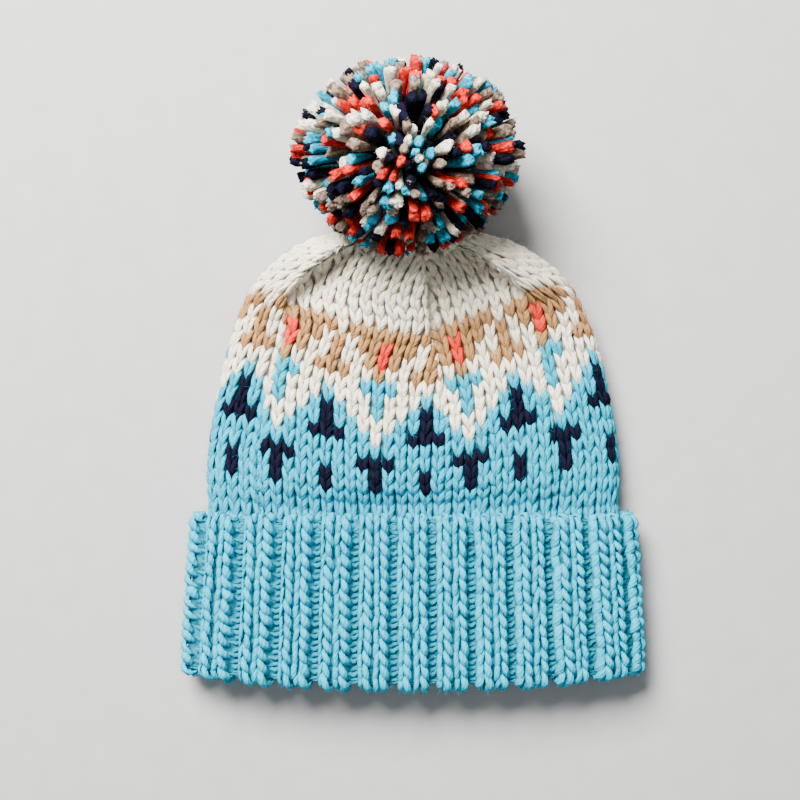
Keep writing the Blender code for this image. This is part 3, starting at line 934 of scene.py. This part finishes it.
def stitch_tree():
    """Lays pairs of yarn legs on a carrier's columns and rows."""
    inputs = {
        "Object": ("Carrier", "First leg", "Second leg", "Fibre"),
        "Float": ("Yarn", "Unevenness", "Fuzz", "Fuzz length", "Floor"),
        "Int": ("Seed",),
        "Material": ("Material",),
    }
    tree = GeometryTree("Laid stitches", inputs)
    uneven = tree.take("Unevenness")
    legs = []
    for number, name in enumerate(("First leg", "Second leg")):
        seed = tree.take("Seed") + 20 * number
        turn = tree.scaled(tree.random_vector((-1.2,) * 3, (1.2,) * 3, seed), uneven)
        size = tree.scaled(tree.random_vector((-1.0,) * 3, (1.0,) * 3, seed + 1), uneven)
        shift = tree.scaled(tree.random_vector((-0.5, -0.5, -0.4), (0.5, 0.5, 0.6), seed + 2), uneven)
        points = tree.moved(tree.take("Geometry"), Offset=shift)
        rotation = tree.out(tree.node("FunctionNodeEulerToRotation", Euler=turn))
        scale = tree.vector("ADD", size, (1.0, 1.0, 1.0))
        legs.append(tree.copies(points, name, rotation, scale, 0.0, seed + 3))
    across, upward, height = tree.parts(tree.position())
    place = tree.joined(across * PLACE_STEP + PLACE_START, upward * PLACE_STEP + PLACE_START, 0.0)
    carrier = tree.body("Carrier")
    spot, lift = (
        tree.out(
            tree.node(
                "GeometryNodeSampleUVSurface",
                {"data_type": "FLOAT_VECTOR"},
                Mesh=carrier,
                Value=field,
                UV_Map=tree.attribute("place"),
                Sample_UV=place,
            ),
            "Value",
        )
        for field in (tree.position(), tree.attribute("lift"))
    )
    laid = tree.vector("ADD", spot, tree.scaled(lift, height * tree.take("Yarn")))
    return finish_tree(tree, tree.moved(tree.realized(tree.together(*legs)), Position=laid))


def pompom_tree():
    """Cut ends of one yarn, standing out from the pompom's head."""
    inputs = {
        "Object": ("Crown", "Cut end", "Split end", "Fibre"),
        "Float": ("Spacing", "End radius", "Fuzz", "Fuzz length", "Floor"),
        "Vector": ("Reach", "Centre"),
        "Int": ("Yarn number", "Seed"),
        "Material": ("Material",),
    }
    tree = GeometryTree("Cut ends", inputs)
    seed, centre = tree.take("Seed"), tree.take("Centre")
    spread = tree.node(
        "GeometryNodeDistributePointsOnFaces",
        {"distribute_method": "POISSON"},
        Mesh=tree.take("Geometry"),
        Distance_Min=tree.take("Spacing"),
        Density_Max=120000.0,
        Seed=seed,
    )
    spot = tree.position()
    from_centre = tree.vector("SUBTRACT", spot, centre)
    wander = tree.random_vector((-0.14,) * 3, (0.14,) * 3, seed + 1)
    lean = tree.vector("NORMALIZE", tree.vector("ADD", tree.vector("NORMALIZE", from_centre), wander))
    # From the centre to the pompom's outer form along the end's direction, less what the scissors trimmed
    full = 1.0 / tree.vector("LENGTH", tree.vector("DIVIDE", lean, tree.take("Reach")))
    trim = tree.random("FLOAT", 0.0, 1.0, seed + 2)
    length = full * (0.985 - trim * trim * trim * 0.16) - tree.vector("LENGTH", from_centre)
    # An end that would run into the crown stops short of it
    hit = tree.node(
        "GeometryNodeRaycast",
        Target_Geometry=tree.body("Crown"),
        Source_Position=spot,
        Ray_Direction=lean,
        Ray_Length=LONGEST_END,
    )
    is_hit = tree.out(hit, "Is Hit")
    free = (tree.out(hit, "Hit Distance") - CROWN_CLEARANCE) * is_hit + (1.0 - is_hit)
    length = tree.maths("MINIMUM", length, free)
    yarn = tree.random("INT", 0, len(POMPOM_YARNS) - 1, seed + 3)
    of_yarn = tree.compared("INT", "EQUAL", yarn, tree.take("Yarn number"))
    chosen = tree.both(of_yarn, tree.compared("FLOAT", "GREATER_THAN", length, SHORTEST_END))
    roll = tree.node(
        "FunctionNodeAxisAngleToRotation",
        Axis=(0.0, 0.0, 1.0),
        Angle=tree.random("FLOAT", 0.0, 6.28, seed + 4),
    )
    rotation = tree.node(
        "FunctionNodeRotateRotation",
        {"rotation_space": "LOCAL"},
        Rotation=tree.facing(lean),
        Rotate_By=tree.out(roll),
    )
    thick = tree.take("End radius") * tree.random("FLOAT", 0.82, 1.16, seed + 5)
    scale = tree.joined(thick, thick * tree.random("FLOAT", 0.88, 1.0, seed + 6), length)
    points, ends = tree.out(spread, "Points"), []
    for number, name in enumerate(("Cut end", "Split end")):
        picked = tree.compared("INT", "EQUAL", tree.random("INT", 0, 1, seed + 7), number)
        selection = tree.both(chosen, picked)
        ends.append(tree.copies(points, name, tree.out(rotation), scale, 0.0, seed + 8, Selection=selection))
    # The ends bend a little together, and more the further out they are
    where = tree.position()
    drift = tree.vector("SUBTRACT", tree.noise(where, 26.0, 1.0, "Color"), (0.5, 0.5, 0.5))
    bent = tree.vector("ADD", where, tree.scaled(drift, END_BEND))
    yarn = tree.moved(tree.realized(tree.together(*ends)), Position=bent)
    return finish_tree(tree, yarn, along_from=0.55)


# Materials


class MaterialTree(Tree):
    """The nodes of a new material, round its own shader."""

    def __init__(self, name):
        self.material = bpy.data.materials.new(name)
        self.material.use_nodes = True
        super().__init__(self.material.node_tree)
        self.shader = self.tree.nodes["Principled BSDF"]
        self.spot = self.out(self.node("ShaderNodeTexCoord"), "Object")

    def blend(self, factor, one, two):
        return self.out(self.node("ShaderNodeMix", {"data_type": "RGBA"}, Factor=factor, A=one, B=two))

    def ramp(self, factor, *stops):
        return self.out(self.node("ShaderNodeValToRGB", {"stops": stops}, (factor,)))

    def uv(self, name):
        return self.parts(self.out(self.node("ShaderNodeUVMap", {"uv_map": name})))[:2]

    def attribute(self, name, output):
        return self.out(self.node("ShaderNodeAttribute", {"attribute_name": name}), output)

    def bump(self, height, strength, distance):
        return self.out(self.node("ShaderNodeBump", Strength=strength, Distance=distance, Height=height))

    def finish(self, **values):
        for key, value in values.items():
            self.feed(self.socket(self.shader.inputs, key.replace("_", " ")), value)
        return self.material


def wool(
    name, colour, heather, pale=0.22, sheen=0.3, gloss=0.12, plies=5.0, twist=4.5, rough=0.55, clump=0.4, painted_root_shade=0.0
):
    """Plied wool: twisted plies along the yarn, fine fibres, and a tone that drifts from stitch to stitch. Its
    colour is partly painted shade: the raised ply ridges and fibre clumps are painted lighter and the grooves
    between them darker, and a cut end can be painted darker towards its root.
    """
    tree = MaterialTree(name)
    colour = tuple(colour)
    light = tuple(channel + (1 - channel) * pale * channel * 1.5 for channel in colour)
    # Darkest tone, painted in the grooves and hollows as their shade
    dark = tuple(channel**1.3 * 0.48 for channel in colour)
    around, along = tree.uv("yarn")
    tint = tree.attribute("tint", "Fac")
    coil = around * plies + along * twist
    ply = tree.maths("ABSOLUTE", tree.maths("SINE", coil * math.pi))
    streak = tree.noise(tree.joined(coil * 5.0, along * 2.5, tint * 37.0), 1.0, 3.0)
    fine = tree.noise(tree.spot, 2200.0, 2.0)
    soft = tree.noise(tree.spot, 420.0, 2.0)
    broad = tree.noise(tree.spot, 38.0, 1.0)
    # Rises along a cut end; with the last factor of the tone it paints the end darker towards its root, painted
    # shade deep among the ends
    root = tree.maths("MULTIPLY_ADD", along, 2.2, -1.35, clamp=True)
    # The tone follows the relief that the bump gives: ply ridges and fibre clumps are painted lighter and the
    # grooves between them darker, as painted shade; streaks and fine fibres are partly the yarn's own tone and
    # partly painted shade of the same relief; tint and broad drift at random
    tone = ply * (0.34 * rough) + streak * 0.50 + fine * 0.22 + soft * clump + tint * 0.16 + broad * 0.20
    tone = tone + (root - 1.0) * painted_root_shade + (-0.30 + 0.17 * (1 - rough) + (0.22 - clump) * 0.5)
    shade = tree.ramp(tone, (0.16, dark), (0.50, colour), (0.86, light))
    mottle = tree.maths("MULTIPLY", (soft - 0.5) * 2.0, heather, clamp=True)
    height = ply * (0.70 * rough) + streak * (0.55 * rough) + fine * 0.25 + soft * clump
    return tree.finish(
        Base_Color=tree.blend(mottle, shade, (*light, 1.0)),
        Roughness=fine * 0.15 + 0.80,
        Sheen_Weight=sheen,
        Sheen_Roughness=0.5,
        Sheen_Tint=(*light, 1.0),
        Specular_IOR_Level=gloss,
        Normal=tree.bump(height, 1.0, 0.0006),
    )


def backing_wool(name):
    """The yarn behind the stitches, seen in the gaps between them, each in its own stitch's colour, mixed towards
    black as painted shade of those gaps and painted lighter on the tops of its bumps.
    """
    tree = MaterialTree(name)
    across, upward = tree.uv("stitch")
    bumps = tree.maths("SINE", upward * (2 * math.pi)) * tree.maths("COSINE", across * (2 * math.pi))
    fine = tree.noise(tree.spot, 1500.0, 3.0)
    own = tree.attribute("yarn_colour", "Color")
    return tree.finish(
        # Own colour mixed towards black as painted shade of the gaps, lighter on the bumps' tops as painted
        # shading; the fine noise is random tone
        Base_Color=tree.blend(fine * 0.35 + bumps * 0.15 + 0.20, (0.0, 0.0, 0.0, 1.0), own),
        Roughness=fine * 0.1 + 0.88,
        Specular_IOR_Level=0.15,
        Normal=tree.bump(bumps * 0.7 + fine * 0.4, 0.9, 0.001),
    )


def plain_floor(colour):
    tree = MaterialTree("plain_floor")
    dark = tuple(channel * 0.97 for channel in colour)
    light = tuple(min(1.0, channel * 1.03) for channel in colour)
    shade = tree.ramp(tree.noise(tree.spot, 60.0, 4.0), (0.3, dark), (0.7, light))
    return tree.finish(Base_Color=shade, Roughness=0.9, Specular_IOR_Level=0.2)


def yarn_material(yarn, depth=1.0):
    """The wool of a knitted yarn, its colour scaled down by a factor: painted shade for the yarn that lies deep in
    the brim's gutters, and a darker aqua for the crown.
    """
    name = f"{yarn}_wool" if depth == 1 else f"{yarn}_wool_{round(depth * 100)}"
    colour = [channel * depth for channel in getattr(bpy.context.scene.hat_knit, yarn)]
    heather, _, pale, _, sheen, gloss = YARN_LOOKS[yarn]
    return bpy.data.materials.get(name) or wool(name, colour, heather, pale, sheen, gloss)


def cut_material(yarn):
    """The wool of a cut end, whose plies have come loose, painted darker towards its root as painted shade deep
    among the ends.
    """
    colour = getattr(bpy.context.scene.hat_knit, yarn)
    _, heather, _, pale, sheen, gloss = YARN_LOOKS[yarn]
    loose = {"plies": 6.0, "twist": 2.2, "rough": 0.5, "clump": 1.3, "painted_root_shade": 0.35}
    return wool(f"{yarn}_cut_wool", colour, heather, pale, sheen, gloss, **loose)


# Small repeated shapes


def mirrored(points):
    return [(-x, y, z, radius) for x, y, z, radius in points]


def leg_shape(name, table, count=7, sides=6):
    """A flattened strand along a smooth curve through a table of x, y, z and radius."""
    spine = smooth_curve(table, count, [0, 1, 2], 8)
    directions = np.gradient(spine[:, :3], axis=0)
    directions /= np.linalg.norm(directions, axis=1, keepdims=True)
    rings = []
    for point, direction in zip(spine, directions):
        sideways = np.cross(direction, (0, 0, 1))
        sideways /= np.linalg.norm(sideways)
        upwards = np.cross(sideways, direction)
        ring = []
        for side in range(sides):
            angle = 2 * math.pi * (side + 0.5) / sides - math.pi / 2
            offset = math.cos(angle) * sideways + LEG_FLATNESS * math.sin(angle) * upwards
            ring.append(point[:3] + point[3] * offset)
        rings.append(ring)
    mesh = strand_mesh(name, rings)
    mesh.shade_smooth()
    return hidden(name, mesh)


def fibre_shape():
    """A fine curved fibre of length one along +Z, closed at its tip."""
    name = "fibre_shape"
    if name in bpy.data.objects:
        return bpy.data.objects[name]
    points = []
    for middle, height, radius in ((0.0, 0.0, 0.125), (0.264, 0.55, 0.095)):
        for side in range(3):
            angle = 2 * math.pi * side / 3
            lean = 0.05 if middle else 0.0
            points.append((middle + radius * math.cos(angle), lean + radius * math.sin(angle), height))
    points.append((1.2, 0.35, 1.0))
    faces = [(side, (side + 1) % 3, 3 + (side + 1) % 3, 3 + side) for side in range(3)]
    faces += [(3 + side, 3 + (side + 1) % 3, 6) for side in range(3)]
    faces.append((2, 1, 0))
    mesh = bpy.data.meshes.new(name)
    mesh.from_pydata(points, [], faces)
    mesh.uv_layers.new(name="yarn")
    return hidden(name, mesh)


def cut_end_shape(name, seed, lobes, ragged, sides=9):
    """A cut end of plied yarn, length one along +Z and radius one, slim at its root and open at its tip."""
    chance = random.Random(seed)
    phase = chance.random() * 6.28
    angles = [2 * math.pi * side / sides for side in range(sides)]
    rings = []
    for row, (height, radius) in enumerate(CUT_END_PROFILE):
        ragged_share = (0.0, 0.5, 1.0)[max(0, row - len(CUT_END_PROFILE) + 3)]
        ring = []
        for angle in angles:
            wave = math.cos(lobes * angle + 2.5 * height + phase)
            wide = radius * (1 + (0.04 + 0.06 * height**3) * wave) * (1 + 0.05 * (chance.random() - 0.5))
            rise = height
            if ragged_share:
                rise += ragged * (chance.random() - 0.5) * ragged_share + 0.026 * wave
            ring.append((wide * math.cos(angle), wide * math.sin(angle), rise))
        rings.append(ring)
    inner = []
    for angle in angles:
        wide = 0.48 * (1 + 0.3 * (chance.random() - 0.5))
        rise = 1.012 + ragged * 0.8 * (chance.random() - 0.5)
        inner.append((wide * math.cos(angle), wide * math.sin(angle), rise))
    rings.append(inner)
    return hidden(name, strand_mesh(name, rings, tip=(0.0, 0.0, 0.985)))


# Pieces


def colour_of(column, row):
    """Yarn of a stitch of the crown, by the pattern's repeat."""
    if row < 0:
        return "a"
    if row > CHART_TOP:
        return "c"
    return CHART[CHART_TOP - row][(column - FIRST_STEM + 3) % 8]


def lay_stitches(name, points, carrier, legs, yarn, seed, material, fuzz=1.0):
    """A piece of stitches at these columns and rows of a carrier."""
    knit = bpy.context.scene.hat_knit
    mesh = bpy.data.meshes.new(name)
    mesh.from_pydata(points, [], [])
    values = {
        "Carrier": carrier,
        "First leg": legs[0],
        "Second leg": legs[1],
        "Fibre": fibre_shape(),
        "Yarn": yarn,
        "Unevenness": knit.unevenness,
        "Fuzz": knit.fuzz * fuzz,
        "Fuzz length": knit.fuzz_length,
        "Floor": FLOOR_GAP,
        "Seed": seed,
        "Material": material,
    }
    tree = bpy.data.node_groups.get("Laid stitches") or stitch_tree()
    return run_tree(link(bpy.data.objects.new(name, mesh)), tree, values)


class HAT_OT_crown_stitches(bpy.types.Operator):
    """Knits the crown, one piece for each yarn of its pattern"""

    bl_idname = "hat.crown_stitches"
    bl_label = "Crown stitches"

    def execute(self, context):
        knit = context.scene.hat_knit
        columns = np.arange(-2, COLUMNS + 2.01, 1 / 3)
        rows = np.arange(FIRST_ROW - 1, LAST_ROW + 0.01, 1 / 3)
        surface, sunk, left = crown_carrier(columns, rows, CROWN_STITCH_DEPTH)
        carrier = make_carrier("crown_carrier", surface, columns, rows, knit.crown_yarn, outward(surface))
        legs = (
            leg_shape("crown_left_leg", mirrored(CROWN_LEG)),
            leg_shape("crown_right_leg", CROWN_LEG),
        )
        stitches = {key: [] for key in YARNS}
        for column in range(COLUMNS):
            centre = column + 0.5 + CHART_SHIFT
            lowest = rim_row(centre) - 1.0
            for row in range(FIRST_ROW, LAST_ROW):
                i, j = np.searchsorted(rows, row + 0.5), np.searchsorted(columns, centre)
                if row + 0.5 > lowest and sunk[i, j] < DEEPEST_STITCH and left[i, j] > GATHER_ROOM:
                    stitches[colour_of(column, row)].append((centre, row + 0.5, 0.0))
        for number, (key, yarn) in enumerate(YARNS.items()):
            material = yarn_material(yarn, CROWN_DARKENING.get(yarn, 1.0))
            seed = 100 * number + 3
            piece = lay_stitches(f"crown_{yarn}", stitches[key], carrier, legs, knit.crown_yarn, seed, material)
            finish_piece(piece, "aqua_yarn" if yarn == "aqua" else "cream_yarn")
        remove(carrier, *legs)
        return {"FINISHED"}


class HAT_OT_crown_backing(bpy.types.Operator):
    """Closes the crown's wall behind its stitches"""

    bl_idname = "hat.crown_backing"
    bl_label = "Crown wall"

    def execute(self, context):
        knit = context.scene.hat_knit
        columns = np.arange(0, COLUMNS, 0.5)
        rows = np.arange(FIRST_ROW + 1, LAST_ROW - 1.99, 0.5)
        outer = crown_carrier(columns, rows, CROWN_STITCH_DEPTH, WALL_PLEAT_DEPTH)[0]
        inner = crown_carrier(columns, rows, CROWN_WALL, 0.0)[0]
        colours = np.ones((len(rows), len(columns), 4))
        for i, row in enumerate(rows):
            for j, column in enumerate(columns):
                whole = math.floor(column - CHART_SHIFT) % COLUMNS
                colours[i, j, :3] = getattr(knit, YARNS[colour_of(whole, math.floor(row))])
        piece = closed_shell("crown_wall", outer, inner, colours, backing_wool("crown_backing_wool"))
        finish_piece(piece, "cream_yarn", "crown")
        return {"FINISHED"}


class HAT_OT_brim_stitches(bpy.types.Operator):
    """Knits the folded brim's ribs and the gutters between them"""

    bl_idname = "hat.brim_stitches"
    bl_label = "Brim stitches"

    def execute(self, context):
        knit = context.scene.hat_knit
        height = knit.brim_row
        _, last = brim_carrier(np.array([1.5]), np.array([0.0]), BRIM_STITCH_DEPTH, height)
        columns = np.arange(-4, COLUMNS + 4.01, 0.25)
        rows = np.arange(-1, last + 1.0, 1 / 3)
        surface, _ = brim_carrier(columns, rows, BRIM_STITCH_DEPTH, height)
        # Ribs stand square to the hat and not to their own flanks, which keeps the gutters open
        level, _ = brim_carrier(columns, rows, BRIM_STITCH_DEPTH, height, 0.0)
        upright = outward(level) + 0.35 * outward(surface)
        carrier = make_carrier("brim_carrier", surface, columns, rows, BRIM_COLUMN, upright)
        ribs = (leg_shape("chunky_leg", BRIM_CHUNKY_LEG), leg_shape("smooth_leg", BRIM_SMOOTH_LEG))
        gutters = (leg_shape("purl_high", PURL_HIGH, 6, 5), leg_shape("purl_low", PURL_LOW, 6, 5))
        turn_row = round(OUTER_LAYER / height)
        outer, inner = range(1, turn_row + 1), range(turn_row + 1, int(last) + 1)
        bands = (
            # band, its rows and ribs, and its share of stray fibres
            ("front", outer, range(RIBS // 2), 1.0),
            ("back", outer, range(RIBS // 2, RIBS), 0.8),
            ("inner", inner, range(RIBS), 0.4),
        )
        for number, (band, courses, places, hairs) in enumerate(bands):
            knits = [(3 * rib + 1.5 + step, row, 0.0) for rib in places for step in (0, 1) for row in courses]
            purls = [(3 * rib + 0.5, row, 0.0) for rib in places for row in courses]
            for kind, points, legs, yarn, seed, depth, fuzz in (
                ("ribs", knits, ribs, knit.brim_yarn, 700, 1.0, hairs),
                # The gutters' yarn is a darker copy of the aqua: painted shade in the gutters
                ("gutters", purls, gutters, knit.brim_yarn * 0.8, 800, GUTTER_PAINTED_SHADE, hairs * 0.4),
            ):
                material = yarn_material("aqua", depth)
                name = f"brim_{band}_{kind}"
                piece = lay_stitches(name, points, carrier, legs, yarn, seed + number, material, fuzz)
                finish_piece(piece, "aqua_yarn")
        remove(carrier, *ribs, *gutters)
        return {"FINISHED"}


class HAT_OT_brim_backing(bpy.types.Operator):
    """Closes the brim's two layers behind their stitches"""

    bl_idname = "hat.brim_backing"
    bl_label = "Brim wall"

    def execute(self, context):
        columns = np.arange(0, COLUMNS, 3 / 8)
        shares, place = rib_place(columns)
        behind = BRIM_WALL + LAYER_GAP
        slit = [
            (SEAT - 0.001, behind),
            (BRIM_DEPTH * 0.5, behind),
            (DOUBLE, behind),
            (DOUBLE, BRIM_WALL),
            (BRIM_DEPTH * 0.5, BRIM_WALL),
        ]
        paths = [np.vstack([brim_path(gutter, BRIM_BACKING_DEPTH, 16), slit]) for gutter in rib_relief(place)]
        points = brim_points(shares, np.array(paths).transpose(1, 0, 2))
        points[:, :, 2] = np.maximum(points[:, :, 2], WALL_FLOOR_GAP)
        points = np.concatenate([points, (points[-1:] + points[:1]) / 2])
        half = len(points) // 2
        colours = np.ones((half, len(columns), 4))
        colours[:, :, :3] = tuple(context.scene.hat_knit.aqua)
        outer, inner = points[:half], points[half:][::-1]
        piece = closed_shell("brim_wall", outer, inner, colours, backing_wool("brim_backing_wool"))
        finish_piece(piece, "aqua_yarn", "brim")
        return {"FINISHED"}


class HAT_OT_pompom(bpy.types.Operator):
    """Makes the pompom's head and its cut ends, one piece for each yarn"""

    bl_idname = "hat.pompom"
    bl_label = "Pompom"

    def execute(self, context):
        knit, pompom = context.scene.hat_knit, context.scene.hat_pompom
        centre, reach = Vector(POMPOM_CENTRE), Vector(POMPOM_RADII)
        ball = bmesh.new()
        bmesh.ops.create_icosphere(ball, subdivisions=5, radius=1.0)
        chance = random.Random(3)
        for vert in ball.verts:
            ripple = 1 + 0.05 * math.sin(vert.co.x * 23) * math.sin(vert.co.y * 19 + vert.co.z * 21)
            vert.co = centre + vert.co * ripple * (1 + 0.03 * chance.random()) * reach * pompom.head
        mesh = bpy.data.meshes.new("pompom_head")
        ball.to_mesh(mesh)
        ball.free()
        mesh.shade_smooth()
        mesh.attributes.new("tint", "FLOAT", "POINT")
        mesh.uv_layers.new(name="yarn")
        # The head is nearly black: painted shade deep among the cut ends
        mesh.materials.append(wool("head_wool", HEAD_SHADE_COLOUR, 0.3))
        head = link(bpy.data.objects.new("pompom_head", mesh))
        cut = cut_end_shape("cut_end_shape", 2, 3, 0.07)
        split = cut_end_shape("split_end_shape", 9, 4, 0.13)
        tree = bpy.data.node_groups.get("Cut ends") or pompom_tree()
        for number, yarn in enumerate(POMPOM_YARNS):
            piece = link(bpy.data.objects.new(f"pompom_{yarn}", mesh.copy()))
            values = {
                "Crown": bpy.data.objects["crown_wall"],
                "Cut end": cut,
                "Split end": split,
                "Fibre": fibre_shape(),
                "Spacing": pompom.spacing,
                "End radius": pompom.thickness,
                "Reach": reach,
                "Centre": centre,
                "Fuzz": knit.fuzz * 1.6,
                "Fuzz length": knit.fuzz_length * 0.55,
                "Yarn number": number,
                "Floor": WALL_FLOOR_GAP,
                "Seed": pompom.seed,
                "Material": cut_material(yarn),
            }
            finish_piece(run_tree(piece, tree, values), "cut_yarn")
        remove(cut, split, fibre_shape())
        finish_piece(head, "cut_yarn", "pompom")
        tie = frame["nodes"]["pompom_tie"]
        tie.data.materials.clear()
        tie.data.materials.append(wool("tie_wool", knit.cream, 0.1))
        return {"FINISHED"}


class HAT_OT_stage(bpy.types.Operator):
    """Sets up the plain floor, the soft light and the camera"""

    bl_idname = "hat.stage"
    bl_label = "Stage"

    def execute(self, context):
        stage = context.scene.hat_stage
        mesh = bpy.data.meshes.new("floor")
        size = FLOOR_HALF
        corners = [(-size, -size, 0), (size, -size, 0), (size, size, 0), (-size, size, 0)]
        mesh.from_pydata(corners, [], [(0, 1, 2, 3)])
        mesh.materials.append(plain_floor(tuple(stage.floor_colour)))
        link(bpy.data.objects.new("floor", mesh))
        world = bpy.data.worlds.new("studio")
        world.use_nodes = True
        sky = world.node_tree.nodes["Background"]
        sky.inputs["Color"].default_value = (0.86, 0.92, 1.0, 1.0)
        sky.inputs["Strength"].default_value = SKY_STRENGTH
        context.scene.world = world
        for name, place, width, watts, tone in LIGHTS:
            lamp = bpy.data.lights.new(name, "AREA")
            lamp.size = width
            lamp.energy = watts
            lamp.color = tone
            thing = link(bpy.data.objects.new(name, lamp))
            thing.location = place
            thing.rotation_euler = (Vector((0, 0, 0.03)) - Vector(place)).to_track_quat("-Z", "Y").to_euler()
        lens = bpy.data.cameras.new("camera")
        lens.lens = stage.focal_length
        lens.sensor_width = 36.0
        lens.clip_start = 0.01
        camera = link(bpy.data.objects.new("camera", lens))
        camera.location = (*CAMERA_PLACE, stage.camera_height)
        context.scene.camera = camera
        return {"FINISHED"}


class HAT_PT_panel(bpy.types.Panel):
    """Sizes, colours and pieces of the hat"""

    bl_idname = "HAT_PT_panel"
    bl_label = "Bobble hat"
    bl_space_type = "VIEW_3D"
    bl_region_type = "UI"
    bl_category = "Bobble hat"

    def draw(self, context):
        for name in GROUPS:
            group, box = getattr(context.scene, name), self.layout.box()
            for key in group.bl_rna.properties.keys():
                if key not in ("rna_type", "name"):
                    box.prop(group, key)
        for operator in OPERATORS:
            self.layout.operator(operator.bl_idname)


GROUPS = {"hat_knit": HatKnit, "hat_pompom": HatPompom, "hat_stage": HatStage}
OPERATORS = (
    HAT_OT_crown_stitches,
    HAT_OT_crown_backing,
    HAT_OT_brim_stitches,
    HAT_OT_brim_backing,
    HAT_OT_pompom,
    HAT_OT_stage,
)
CLASSES = (*GROUPS.values(), *OPERATORS, HAT_PT_panel)


def register():
    for made in CLASSES:
        bpy.utils.register_class(made)
    for name, group in GROUPS.items():
        setattr(bpy.types.Scene, name, bpy.props.PointerProperty(type=group))


def unregister():
    for name in GROUPS:
        delattr(bpy.types.Scene, name)
    for made in reversed(CLASSES):
        bpy.utils.unregister_class(made)


def main():
    register()
    bpy.ops.hat.crown_stitches()
    bpy.ops.hat.crown_backing()
    bpy.ops.hat.brim_stitches()
    bpy.ops.hat.brim_backing()
    bpy.ops.hat.pompom()
    bpy.ops.hat.stage()


if __name__ == "__main__":
    main()
